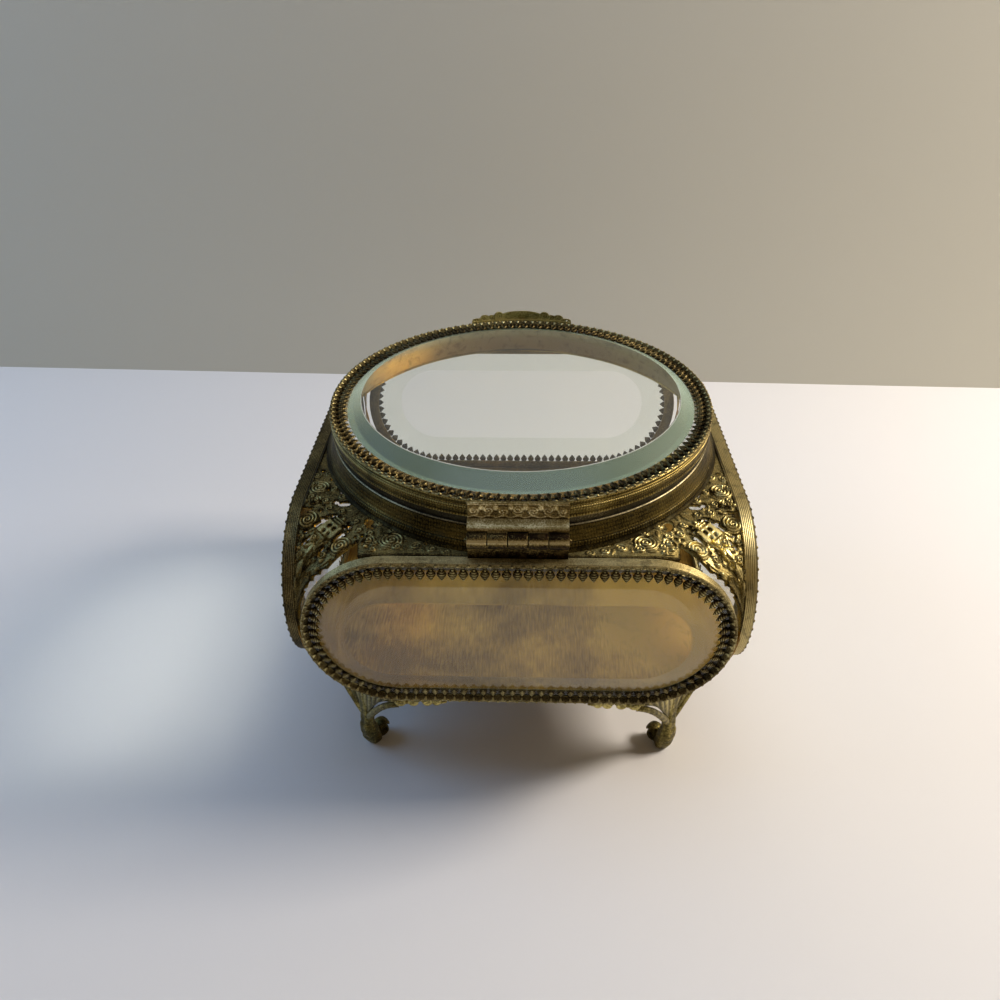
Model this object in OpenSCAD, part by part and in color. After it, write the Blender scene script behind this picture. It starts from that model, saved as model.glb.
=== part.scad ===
// Footed glass casket: four oval-ended windows in a square stamped shell,
// a round bevelled lid on a rear hinge, and four scrolled corner feet.
// Origin at the middle of the base, on the table. +Z is up, the hinge is at +Y.

/* [Shell] */
// Width and depth of the square shell, without the window bezels
body_w = 118.4; // [116:0.2:128]
// Distance from the half-round end of a window to the edge of the shell
window_margin = 1.7; // [1.2:0.1:6]
// Height of the shell and of its windows
window_h = 50; // [44:0.2:56]
// Height of the underside of the shell above the table
leg_h = 37.1; // [31:0.1:46]
// Thickness of the stamped shoulder and base pan
sheet_t = 1; // [0.8:0.1:1.4]
// Width of the shoulder strip between the neck opening and the middle of a side
neck_margin = 3.2; // [2.6:0.1:5]

/* [Windows] */
// Wall thickness of a bezel
bezel_wall = 1; // [0.8:0.1:1.3]
// Thickness of the flange that a pane sits against
flange_t = 0.6; // [0.5:0.1:1]
// Width of the flange that a pane sits against
flange_w = 3; // [2:0.1:4]
// Height of the bezel's edge above the prongs
bezel_lip = 0.6; // [0.4:0.1:1.2]

/* [Glass] */
// Thickness of a pane at its edge
pane_edge_t = 1.8; // [1.5:0.1:2.6]
// Height of the flat middle of a pane above its edge
bevel_rise = 2.4; // [1.5:0.1:3]
// Width of the bevel round a pane, from the prongs to the flat middle
bevel_w = 6.6; // [5:0.1:8.5]
// Gap between the edge of a pane and its frame
pane_gap = 0.3; // [0.15:0.05:0.5]

/* [Galleries] */
// Distance from one prong to the next
prong_pitch = 2.84; // [2.4:0.02:3.6]
// Length of a prong
prong_len = 2.4; // [1.6:0.1:3]
// Thickness of the prong strip
prong_t = 0.6; // [0.5:0.1:1]
// Width of the plain strip that carries the prongs
gallery_strip = 1.6; // [1.4:0.1:2]
// Width of the raised edge of the prong strip
gallery_edge_w = 1.1; // [0.8:0.1:1.2]
// Gap between a gallery and the wall round it
gallery_gap = 0.05; // [0.03:0.01:0.1]
// Gap between the tips of the prongs and the bevel
prong_gap = 0.15; // [0.1:0.05:0.4]

/* [Collar] */
// Height of the collar round the neck
collar_h = 8.6; // [7.6:0.1:10]
// Wall thickness of the collar at its edges
collar_t = 1.5; // [1.2:0.1:2]
// How far the middle of the collar bulges out
collar_bulge = 0.6; // [0.3:0.1:0.9]
// Height of the beaded ring round the foot of the collar
foot_ring_h = 2; // [1.4:0.1:2.2]
// Thickness of the beaded ring round the foot of the collar
foot_ring_t = 1.6; // [1.2:0.1:2]

/* [Lid] */
// Gap between the collar and the closed lid
lid_gap = 0.35; // [0.3:0.05:0.6]
// How far the lid's wall stands in from the collar's outer edge
lid_inset = 1.1; // [0.8:0.1:1.5]
// Wall thickness of the lid rim
lid_wall = 1; // [0.8:0.1:1.3]
// Depth of the skirt below the lid's glass ledge
skirt_h = 2; // [1.4:0.1:2.6]
// Height of the lid rim's edge above the prongs
lid_lip = 0.6; // [0.4:0.1:1]
// Radius of the beaded wire let into the side of the lid rim
lid_bead_r = 0.3; // [0.2:0.05:0.35]
// Gap round the beaded wire in its groove
bead_gap = 0.03; // [0.02:0.01:0.05]

/* [Lift tab] */
// Width of the ornamental finger tab
tab_w = 35; // [28:0.5:42]
// Height of the finger tab above the lid rim
tab_h = 4.6; // [3.5:0.1:6]
// Thickness of the finger tab
tab_t = 1; // [0.8:0.1:1.6]
// How far the tab reaches down the side of the rim
tab_seat = 2.4; // [2:0.1:3]

/* [Hinge] */
// Width of the hinge
hinge_w = 25; // [22:0.1:32]
// Radius of the knuckles
knuckle_r = 2.1; // [1.8:0.1:2.4]
// Gap between neighbouring knuckles
knuckle_gap = 0.2; // [0.1:0.05:0.4]
// Radius of the hinge pin
pin_r = 0.75; // [0.6:0.05:0.9]
// Running gap round the hinge pin
pin_play = 0.05; // [0.03:0.01:0.08]
// Thickness of the hinge leaves
leaf_t = 0.9; // [0.7:0.1:1.1]
// How far the upper leaf stands above the lid rim
leaf_over = 0.8; // [0.4:0.1:1.4]
// Drop from the underside of the lid to the top of the knuckles
knuckle_drop = 0.85; // [0.7:0.05:1.1]
// Gap between the barrel and the collar
barrel_gap = 0.3; // [0.25:0.05:0.5]

/* [Feet] */
// Distance of a leg's centre in from the faces of the shell
leg_inset = 11.8; // [10:0.1:13]
// Radius of a leg
leg_r = 2.3; // [1.8:0.1:2.8]
// Radius of the pad under a leg
pad_r = 3.4; // [3:0.1:4]
// Height of the pad under a leg
pad_h = 2; // [1.5:0.1:3]
// Radius of the scrolled toe
toe_r = 2.7; // [2.2:0.1:3]
// How far the toe stands in from the leg, along each side
toe_offset = 2.2; // [1.6:0.1:2.8]
// Height at which the curved struts leave a leg
strut_z = 12.6; // [9:0.2:16]
// Radius of the curved struts
strut_r = 1.4; // [1:0.1:1.7]
// Length of the leafed arm under a bezel
arm_l = 14; // [11:0.5:16]
// Distance from the middle of a side to the near end of an arm
arm_start = 20; // [17:0.5:21]
// Depth of the leafed arm
arm_h = 2.9; // [2:0.1:3.4]
// Thickness of the leafed arm
arm_t = 2.2; // [1.6:0.1:2.6]

/* [Hidden] */
$fn = 96;
eps = 0.01;

// Directions of the four sides, as turns from the front
FRONT = 0;
RIGHT = 90;
BACK = 180;
LEFT = 270;

// Colours of the finishes
gilt = "#7d6d38";
dark_gilt = "#4e4322";
old_copper = "#6a4a2c";
glass = [0.82, 0.9, 0.88, 0.35];

// Shell
half_w = body_w / 2;
window_r = window_h / 2;
window_straight = half_w - window_margin - window_r;
shell_straight = half_w - window_r;
mid_z = leg_h + window_r;
shell_top = leg_h + window_h;
neck_r = half_w - neck_margin;

// Windows, measured outwards from the shell
bezel_depth = flange_t + pane_edge_t + prong_t + bezel_lip;
pane_inset = bezel_wall + pane_gap;
gallery_inset = bezel_wall + gallery_gap;
root_inset = gallery_inset + gallery_strip;
bevel_inset = root_inset + prong_len + prong_gap;

// Collar
collar_r = neck_r + collar_t;
collar_top = shell_top + collar_h;
collar_max_r = collar_r + collar_bulge;
foot_ring_r = collar_r + foot_ring_t;

// Lid
lid_r = collar_r - lid_inset;
lid_z = collar_top + lid_gap;
ledge_z = lid_z + skirt_h;
lid_pane_z = ledge_z + flange_t;
lid_prong_z = lid_pane_z + pane_edge_t;
lid_top = lid_prong_z + prong_t + lid_lip;
bead_z = (lid_z + lid_top) / 2;
lid_pane_r = lid_r - lid_wall - pane_gap;
ledge_r = lid_pane_r - flange_w;
lid_gallery_r = lid_r - lid_wall - gallery_gap;
lid_root_r = lid_gallery_r - gallery_strip;
lid_bevel_r = lid_root_r - prong_len - prong_gap;

// Hinge
axis_y = collar_max_r + barrel_gap + knuckle_r;
axis_z = lid_z - knuckle_drop - knuckle_r;
knuckles = 5;
knuckle_pitch = hinge_w / knuckles;

// Feet
leg_q = half_w - leg_inset;
arm_y = half_w + (bezel_depth - arm_t) / 2;

// ---- Shell surface: flat, and curving down only at the corners ----

function corner_share(a) = max(0, (abs(a) - shell_straight) / window_r);
function corner_fall(x, y) = min(1, corner_share(x) * corner_share(y));
function shell_rise(x, y) = window_r * sqrt(1 - pow(corner_fall(x, y), 2));
function shell_point(x, y) = [x, y, shell_rise(x, y)];
function shell_normal(x, y) =
    let (fall = corner_fall(x, y),
         n = [sign(x) * fall * corner_share(y), sign(y) * fall * corner_share(x),
              sqrt(1 - fall * fall)])
    n / norm(n);

// A sheet of even thickness under a grid of [x, y] places on the shell surface.
// Rows close on themselves when ring is true.
module shell_sheet(grid, ring) {
    rows = len(grid);
    cols = len(grid[0]);
    outer = [for (row = grid) for (p = row) shell_point(p.x, p.y)];
    inner = [for (row = grid) for (p = row)
        shell_point(p.x, p.y) - sheet_t * shell_normal(p.x, p.y)];
    under = rows * cols;
    spans = ring ? cols : cols - 1;
    function at(i, j) = i * cols + j % cols;
    skin = [for (i = [0:rows - 2]) for (j = [0:spans - 1]) each [
        [at(i, j), at(i, j + 1), at(i + 1, j + 1)],
        [at(i, j), at(i + 1, j + 1), at(i + 1, j)]]];
    back = [for (f = skin) [f[2] + under, f[1] + under, f[0] + under]];
    function wall(a, b) = [[a, a + under, b + under], [a, b + under, b]];
    first = [for (j = [0:spans - 1]) each wall(at(0, j), at(0, j + 1))];
    last = [for (j = [0:spans - 1]) each wall(at(rows - 1, j + 1), at(rows - 1, j))];
    sides = ring ? [] : [for (i = [0:rows - 2]) each concat(
        wall(at(i + 1, 0), at(i, 0)), wall(at(i, cols - 1), at(i + 1, cols - 1)))];
    polyhedron(concat(outer, inner), concat(skin, back, first, last, sides), convexity = 6);
}

// Steps from 0 to 1 that crowd together towards 1
function crowded(n) = [for (i = [0:n]) 1 - pow(1 - i / n, 2)];

module shoulder() {
    rings = 6;
    turns = 128;
    function edge_r(a) = half_w / max(abs(cos(a)), abs(sin(a)));
    grid = [for (s = crowded(rings)) [for (k = [0:turns - 1])
        let (a = -360 * k / turns, r = neck_r + (edge_r(a) - neck_r) * s)
        r * [cos(a), sin(a)]]];
    color(gilt) translate([0, 0, mid_z]) shell_sheet(grid, true);
}

module base_pan() {
    side = [for (s = crowded(8)) shell_straight + window_r * s];
    line = concat([for (i = [len(side) - 1:-1:0]) -side[i]], side);
    grid = [for (y = line) [for (i = [len(line) - 1:-1:0]) [line[i], y]]];
    color(gilt) translate([0, 0, mid_z]) mirror([0, 0, 1]) shell_sheet(grid, false);
}

// ---- Windows: drawn flat, standing out along +Z, then turned onto a side ----

module on_side(turn) {
    rotate([0, 0, turn]) translate([0, -half_w, mid_z]) rotate([90, 0, 0]) children();
}

// The window's outline, drawn in from its edge by an inset
module window_outline(inset) {
    square([2 * window_straight, window_h - 2 * inset], center = true);
    for (s = [-1, 1]) translate([s * window_straight, 0]) circle(r = window_r - inset);
}

module bezel() {
    color(gilt) difference() {
        linear_extrude(bezel_depth) window_outline(0);
        translate([0, 0, flange_t]) linear_extrude(bezel_depth) window_outline(bezel_wall);
        translate([0, 0, -eps]) linear_extrude(bezel_depth)
            window_outline(pane_inset + flange_w);
    }
}

// A pane resting on the bezel's flange, with a flat border under the prongs and
// a bevel up to its middle
module pane() {
    low_r = window_r - bevel_inset;
    high_r = low_r - bevel_w;
    color(glass) translate([0, 0, flange_t]) {
        linear_extrude(pane_edge_t) window_outline(pane_inset);
        translate([0, 0, pane_edge_t]) {
            for (s = [-1, 1]) translate([s * window_straight, 0, 0])
                cylinder(h = bevel_rise, r1 = low_r, r2 = high_r);
            rotate([90, 0, 90]) linear_extrude(2 * window_straight, center = true)
                polygon([[-low_r, 0], [low_r, 0], [high_r, bevel_rise], [-high_r, bevel_rise]]);
        }
    }
}

// A place on a track with half-round ends of radius r, at distance s along it,
// and the same place moved inwards by depth
function track_length(straight, r) = 4 * straight + 2 * PI * r;
function track_point(straight, r, s, depth) =
    let (side = 2 * straight, bend = PI * r, half = side + bend,
         turned = s >= half, t = turned ? s - half : s, k = turned ? -1 : 1,
         a = 90 - 180 * (t - side) / bend)
    k * (t < side ? [t - straight, r - depth]
                  : [straight + (r - depth) * cos(a), (r - depth) * sin(a)]);

// The inner edge of a prong strip: straight gaps and pointed prongs
function prong_edge(straight, r) =
    let (length = track_length(straight, r), count = round(length / prong_pitch),
         step = length / count)
    [for (i = [0:count - 1]) each [
        track_point(straight, r, (i + 0.08) * step, 0),
        track_point(straight, r, (i + 0.22) * step, prong_len * 0.45),
        track_point(straight, r, (i + 0.5) * step, prong_len),
        track_point(straight, r, (i + 0.78) * step, prong_len * 0.45),
        track_point(straight, r, (i + 0.92) * step, 0)]];

module window_gallery() {
    color(dark_gilt) translate([0, 0, flange_t + pane_edge_t]) {
        linear_extrude(prong_t) difference() {
            window_outline(gallery_inset);
            polygon(prong_edge(window_straight, window_r - root_inset));
        }
        translate([0, 0, prong_t]) linear_extrude(bezel_lip) difference() {
            window_outline(gallery_inset);
            window_outline(gallery_inset + gallery_edge_w);
        }
    }
}

module front_bezel() on_side(FRONT) bezel();
module right_bezel() on_side(RIGHT) bezel();
module back_bezel() on_side(BACK) bezel();
module left_bezel() on_side(LEFT) bezel();

module front_glass() on_side(FRONT) pane();
module right_glass() on_side(RIGHT) pane();
module back_glass() on_side(BACK) pane();
module left_glass() on_side(LEFT) pane();

module front_gallery() on_side(FRONT) window_gallery();
module right_gallery() on_side(RIGHT) window_gallery();
module back_gallery() on_side(BACK) window_gallery();
module left_gallery() on_side(LEFT) window_gallery();

// ---- Collar round the neck ----

module collar() {
    plain_h = collar_h - foot_ring_h;
    bulge = [for (i = [0:10])
        [collar_r + collar_bulge * sin(18 * i), shell_top + foot_ring_h + plain_h * i / 10]];
    color(gilt) rotate_extrude()
        polygon(concat([[neck_r, collar_top], [neck_r, shell_top], [collar_r, shell_top]], bulge));
}

module collar_foot_ring() {
    color(gilt) rotate_extrude()
        polygon([[collar_r, shell_top], [foot_ring_r, shell_top],
                 [foot_ring_r, shell_top + foot_ring_h / 2],
                 [collar_r + foot_ring_t / 3, shell_top + foot_ring_h],
                 [collar_r, shell_top + foot_ring_h]]);
}

// ---- Feet: drawn in the +X +Y corner ----

function pan_under(q) = mid_z - shell_rise(q, q);
function strut_point(t) = [
    leg_q + (arm_start + arm_l - leg_q) * t,
    leg_q + (arm_y + arm_t / 2 - leg_q) * sin(90 * t),
    strut_z + (leg_h - arm_h / 2 - strut_z) * sin(90 * t)];

module strut() {
    parts = 3;
    for (i = [0:parts - 1]) hull() for (t = [i, i + 1] / parts)
        translate(strut_point(t)) sphere(r = min(strut_r, arm_h / 2), $fn = 16);
    translate([arm_start, arm_y, leg_h - arm_h]) cube([arm_l, arm_t, arm_h]);
}

module corner_foot() {
    leg_top = pan_under(leg_q - leg_r / sqrt(2));
    color(gilt) {
        translate([leg_q, leg_q, 0]) {
            cylinder(h = pad_h, r = pad_r);
            cylinder(h = leg_top, r = leg_r);
        }
        translate([leg_q - toe_offset, leg_q - toe_offset, pad_h + toe_r / 2])
            sphere(r = toe_r);
        strut();
        mirror([1, -1, 0]) strut();
    }
}

module back_right_foot() corner_foot();
module back_left_foot() mirror([1, 0, 0]) corner_foot();
module front_right_foot() mirror([0, 1, 0]) corner_foot();
module front_left_foot() rotate([0, 0, 180]) corner_foot();

// ---- Lid ----

module lid_rim() {
    groove_h = 2 * (lid_bead_r + bead_gap);
    wall_r = lid_r - lid_wall;
    color(gilt) rotate_extrude() difference() {
        polygon([[wall_r, lid_z], [lid_r, lid_z], [lid_r, lid_top], [wall_r, lid_top],
                 [wall_r, lid_pane_z], [ledge_r, lid_pane_z], [ledge_r, ledge_z],
                 [wall_r, ledge_z]]);
        translate([lid_r - groove_h, bead_z - groove_h / 2]) square([lid_wall, groove_h]);
    }
}

module lid_bead() {
    color(dark_gilt) rotate_extrude()
        translate([lid_r - lid_bead_r - bead_gap, bead_z]) circle(r = lid_bead_r, $fn = 24);
}

module lid_glass() {
    color(glass) rotate_extrude()
        polygon([[0, lid_pane_z], [lid_pane_r, lid_pane_z], [lid_pane_r, lid_prong_z],
                 [lid_bevel_r, lid_prong_z], [lid_bevel_r - bevel_w, lid_prong_z + bevel_rise],
                 [0, lid_prong_z + bevel_rise]]);
}

module lid_gallery() {
    color(dark_gilt) translate([0, 0, lid_prong_z]) {
        linear_extrude(prong_t) difference() {
            circle(r = lid_gallery_r);
            polygon(prong_edge(0, lid_root_r));
        }
        translate([0, 0, prong_t]) linear_extrude(lid_lip) difference() {
            circle(r = lid_gallery_r);
            circle(r = lid_gallery_r - gallery_edge_w);
        }
    }
}

// The tab's outline: a smooth cartouche with scrolls that step down on each side
module tab_outline() {
    cartouche = tab_w / 7;
    square([tab_w * 0.9, 2 * tab_seat], center = true);
    translate([-cartouche, 0]) square([2 * cartouche, tab_h * 0.8]);
    translate([0, tab_h * 0.5]) circle(r = tab_h * 0.5);
    for (s = [-1, 1]) {
        translate([s * tab_w * 0.22, tab_h * 0.45]) circle(r = tab_h * 0.42);
        translate([s * tab_w * 0.33, tab_h * 0.3]) circle(r = tab_h * 0.36);
        translate([s * tab_w * 0.43, tab_h * 0.1]) circle(r = tab_w * 0.07);
    }
}

module lift_tab() {
    color(gilt) translate([0, 0, lid_top]) intersection() {
        rotate([90, 0, 0]) linear_extrude(lid_r + 2 * tab_t) tab_outline();
        translate([0, 0, -tab_seat]) difference() {
            cylinder(h = 2 * (tab_seat + tab_h), r = lid_r + tab_t);
            translate([0, 0, -eps]) cylinder(h = 3 * (tab_seat + tab_h), r = lid_r);
        }
    }
}

// ---- Hinge, drawn along X ----

// Extrudes a [y, z] outline along X between two places
module along_x(from, to) {
    translate([from, 0, 0]) rotate([90, 0, 90]) linear_extrude(to - from) children();
}

// The knuckles of one leaf, each joined to its web, and bored for the pin
module knuckle_set(first, web) {
    difference() {
        for (i = [first:2:knuckles - 1]) {
            from = -hinge_w / 2 + i * knuckle_pitch + (i == 0 ? 0 : knuckle_gap / 2);
            to = -hinge_w / 2 + (i + 1) * knuckle_pitch
                - (i == knuckles - 1 ? 0 : knuckle_gap / 2);
            along_x(from, to) {
                translate([axis_y, axis_z]) circle(r = knuckle_r, $fn = 48);
                polygon(web);
            }
        }
        translate([-hinge_w, axis_y, axis_z]) rotate([0, 90, 0])
            cylinder(h = 2 * hinge_w, r = pin_r + pin_play, $fn = 48);
    }
}

module hinge_lid_leaf() {
    web = [[lid_r, lid_z], [collar_max_r + barrel_gap, lid_z],
           [axis_y - 0.8 * knuckle_r, axis_z + 0.6 * knuckle_r], [axis_y, axis_z + 0.8 * knuckle_r],
           [axis_y, axis_z + knuckle_r], [lid_r + leaf_t, lid_z + leaf_t]];
    color(old_copper) {
        along_x(-hinge_w / 2, hinge_w / 2)
            translate([lid_r, lid_z]) square([leaf_t, lid_top + leaf_over - lid_z]);
        knuckle_set(1, web);
    }
}

module hinge_body_leaf() {
    leaf_y = foot_ring_r + pin_play;
    leaf_top = axis_z - knuckle_r - knuckle_gap;
    web = [[leaf_y, shell_top], [leaf_y + leaf_t, shell_top], [leaf_y + leaf_t, axis_z - pin_r * 2],
           [leaf_y, axis_z - pin_r * 2]];
    color(old_copper) {
        along_x(-hinge_w / 2, hinge_w / 2)
            translate([leaf_y, shell_top]) square([leaf_t, leaf_top - shell_top]);
        knuckle_set(0, web);
    }
}

module hinge_pin() {
    pin_l = hinge_w + 2 * pin_r;
    color(old_copper) translate([-pin_l / 2, axis_y, axis_z]) rotate([0, 90, 0])
        cylinder(h = pin_l, r = pin_r, $fn = 48);
}

base_pan();
shoulder();
collar();
collar_foot_ring();
front_bezel();
right_bezel();
back_bezel();
left_bezel();
front_glass();
right_glass();
back_glass();
left_glass();
front_gallery();
right_gallery();
back_gallery();
left_gallery();
front_left_foot();
front_right_foot();
back_left_foot();
back_right_foot();
hinge_body_leaf();
hinge_pin();
hinge_lid_leaf();
lid_rim();
lid_bead();
lid_glass();
lid_gallery();
lift_tab();
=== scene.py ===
"""Dresses a footed casket of antique gilt brass with bevelled glass panes.

The frame gives the bodies and the CAD nodes. Each class below makes one
sub-assembly: it holds its sizes in millimetres, builds its meshes and puts on
their finishes. The origin is at the middle of the base, +Z is up, the hinge is
on +Y and the finger tab on -Y.
"""

import logging
import math
from dataclasses import dataclass, field
from enum import Enum

import bmesh
import bpy
import numpy as np
from mathutils import Matrix, Vector

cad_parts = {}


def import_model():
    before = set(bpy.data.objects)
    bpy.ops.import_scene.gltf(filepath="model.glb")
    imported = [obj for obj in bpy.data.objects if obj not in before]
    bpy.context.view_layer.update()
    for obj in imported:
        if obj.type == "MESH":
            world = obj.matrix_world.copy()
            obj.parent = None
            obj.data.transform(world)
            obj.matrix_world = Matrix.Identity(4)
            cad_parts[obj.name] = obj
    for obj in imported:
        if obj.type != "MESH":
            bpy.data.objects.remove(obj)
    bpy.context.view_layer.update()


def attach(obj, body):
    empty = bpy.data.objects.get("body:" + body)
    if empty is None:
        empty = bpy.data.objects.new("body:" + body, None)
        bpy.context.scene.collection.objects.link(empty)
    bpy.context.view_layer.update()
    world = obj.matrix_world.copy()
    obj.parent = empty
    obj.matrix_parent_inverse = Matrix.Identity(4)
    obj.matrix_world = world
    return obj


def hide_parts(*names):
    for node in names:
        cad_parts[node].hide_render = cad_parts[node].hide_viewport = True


log = logging.getLogger("casket")

Array = np.ndarray
MM = 0.001
# The corners in the order in which quarter turns reach them.
CORNERS = ("back_right", "back_left", "front_left", "front_right")


class Side(Enum):
    """The four sides of the casket, as turns from the front in degrees."""

    FRONT = 0
    RIGHT = 90
    BACK = 180
    LEFT = 270


class Body(Enum):
    """The two bodies that pieces ride on."""

    CASKET = "casket"
    LID = "lid"


# ---- Mesh making -----------------------------------------------------------


def turned(degrees: float) -> Array:
    """Rotation about Z, as a 3 x 3 matrix."""
    return np.array(Matrix.Rotation(math.radians(degrees), 3, "Z"))


def circle(steps: int) -> Array:
    """Angles in radians, evenly spread round a circle."""
    return np.linspace(0, 2 * np.pi, steps, endpoint=False)


def polar(x: Array, y: Array) -> tuple[Array, Array]:
    """Distance and direction of each place from the middle."""
    return np.hypot(x, y), np.arctan2(y, x)


@dataclass
class Form:
    """Closed surfaces in millimetres, gathered bit by bit into one mesh.

    Every point has a tone: 0 in a recess where dirt stays, 1 where hands rub.
    In places the tones also carry painted light and shade.
    """

    points: list[Array] = field(default_factory=list)
    tones: list[Array] = field(default_factory=list)
    faces: list[Array] = field(default_factory=list)
    count: int = 0

    def add(self, points: Array, faces: list[Array], tone: Array | float) -> "Form":
        """Adds points and the faces that join them.

        Args:
            points: Places, one row each.
            faces: Index arrays, each of faces with the same number of corners.
            tone: One tone for all the points, or one each.

        Returns:
            The form itself.
        """
        self.points.append(points)
        self.tones.append(np.broadcast_to(np.ravel(tone), len(points)))
        self.faces += [f + self.count for f in faces]
        self.count += len(points)
        return self

    def add_grid(self, grid: Array, tone: Array | float, ring: bool = False) -> "Form":
        """Adds a closed surface woven through a grid of points.

        The columns close on themselves. So do the rows of a ring, and otherwise
        the first and last rows are filled in.

        Args:
            grid: Points in rows and columns.
            tone: One tone, one for each row, or a grid of them.
            ring: Whether the rows close on themselves.

        Returns:
            The form itself.
        """
        rows, cols = grid.shape[:2]
        index = np.arange(rows * cols).reshape(rows, cols)
        here, near = (index, np.roll(index, -1, 0)) if ring else (index[:-1], index[1:])
        quads = np.stack([here, np.roll(here, -1, 1), np.roll(near, -1, 1), near], -1)
        caps = [] if ring else [index[:1, ::-1], index[-1:]]
        if np.ndim(tone) == 1:
            tone = np.reshape(tone, (-1, 1))
        return self.add(grid.reshape(-1, 3), [quads.reshape(-1, 4), *caps],
                        np.broadcast_to(tone, (rows, cols)))

    def add_bar(self, outline: Array, places: Array, tone: Array | float) -> "Form":
        """Adds a bar along X, cut across at some places.

        Args:
            outline: Rows of y and z.
            places: The x of each cut.
            tone: One tone, or one for each row of the outline.

        Returns:
            The form itself.
        """
        cuts = [np.column_stack([np.full(len(outline), x), outline]) for x in places]
        return self.add_grid(np.stack(cuts), np.atleast_2d(tone))

    def add_sheet(self, front: Array, back: Array, tone: Array,
                  under_tone: Array | float = 0.35, kept: Array | None = None) -> "Form":
        """Joins two skins into a closed sheet, with walls round every opening.

        Args:
            front: Grid of the outer skin.
            back: Grid of the inner skin.
            tone: Tone of each point of the outer skin.
            under_tone: Tone of the inner skin.
            kept: Which cells of the grid are there, or None for all.

        Returns:
            The form itself.
        """
        rows, cols = front.shape[:2]
        kept = np.ones((rows - 1, cols - 1), bool) if kept is None else kept
        index = np.arange(rows * cols).reshape(rows, cols)
        under = rows * cols
        corners = [index[:-1, :-1], index[:-1, 1:], index[1:, 1:], index[1:, :-1]]
        quads = np.stack([c[kept] for c in corners], -1)
        padded = np.pad(kept, 1)
        walls = []
        for k, (di, dj) in enumerate(((-1, 0), (0, 1), (1, 0), (0, -1))):
            rim = kept & ~padded[1 + di:rows + di, 1 + dj:cols + dj]
            a, b = corners[k][rim], corners[(k + 1) % 4][rim]
            walls.append(np.stack([b, a, a + under, b + under], -1))
        faces = np.concatenate([quads, quads[:, ::-1] + under, *walls])
        used = np.unique(faces)
        lookup = np.zeros(2 * under, int)
        lookup[used] = np.arange(len(used))
        points = np.concatenate([front.reshape(-1, 3), back.reshape(-1, 3)])
        tones = np.concatenate([tone.ravel(), np.broadcast_to(np.ravel(under_tone), under)])
        return self.add(points[used], [lookup[faces]], tones[used])

    def merge(self, other: "Form", turn: Array = np.eye(3),
              move: Array | tuple[float, float, float] = (0, 0, 0)) -> "Form":
        """Adds a copy of another form, turned and then moved."""
        points = np.concatenate(other.points) @ turn.T + np.array(move, float)
        return self.add(points, other.faces, np.concatenate(other.tones))

    def mesh(self, name: str, crease: float) -> bpy.types.Mesh:
        """Turns the form into a mesh in metres.

        Args:
            name: The mesh's name.
            crease: Angle in degrees above which an edge stays sharp.

        Returns:
            The mesh, with its tones as the point attribute "tone".
        """
        points = np.concatenate(self.points) * MM
        sizes = np.concatenate([np.full(len(f), f.shape[1]) for f in self.faces])
        mesh = bpy.data.meshes.new(name)
        mesh.vertices.add(len(points))
        mesh.vertices.foreach_set("co", points.ravel())
        mesh.loops.add(int(sizes.sum()))
        mesh.loops.foreach_set("vertex_index",
                               np.concatenate([f.ravel() for f in self.faces]).astype(np.int32))
        mesh.polygons.add(len(sizes))
        mesh.polygons.foreach_set("loop_start",
                                  np.concatenate([[0], np.cumsum(sizes)[:-1]]).astype(np.int32))
        mesh.update(calc_edges=True)
        tone = mesh.attributes.new("tone", "FLOAT", "POINT")
        tone.data.foreach_set("value", np.concatenate(self.tones).astype(np.float32))
        work = bmesh.new()
        work.from_mesh(mesh)
        bmesh.ops.recalc_face_normals(work, faces=work.faces)
        work.to_mesh(mesh)
        work.free()
        mesh.polygons.foreach_set("use_smooth", np.ones(len(mesh.polygons), bool))
        mesh.set_sharp_from_angle(angle=math.radians(crease))
        return mesh


def lathe(profile: Array, steps: int) -> Array:
    """Turns a profile about Z.

    Args:
        profile: Rows of radius and height.
        steps: Number of places round the axis.

    Returns:
        A grid with a row for each profile point.
    """
    angle = circle(steps)
    radius, height = np.asarray(profile, float).T
    return np.stack([np.outer(radius, np.cos(angle)), np.outer(radius, np.sin(angle)),
                     np.repeat(height[:, None], steps, 1)], -1)


def tube(path: Array, across: Array, deep: Array, sides: int = 10,
         up: tuple[float, float, float] = (0, 0, 1)) -> Array:
    """Sweeps an ellipse along a path.

    Args:
        path: Points along the middle of the tube.
        across: Half width at each point, level with the ground.
        deep: Half depth at each point.
        sides: Number of places round the ellipse.
        up: A direction that the ellipse's depth leans towards.

    Returns:
        A grid with a row for each path point.
    """
    along = np.gradient(path, axis=0)
    along /= np.linalg.norm(along, axis=1, keepdims=True)
    level = np.cross(along, up)
    level /= np.maximum(np.linalg.norm(level, axis=1, keepdims=True), 1e-9)
    rise = np.cross(level, along)
    angle = circle(sides)
    return (path[:, None] + level[:, None] * (across[:, None] * np.cos(angle))[..., None]
            + rise[:, None] * (deep[:, None] * np.sin(angle))[..., None])


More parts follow.
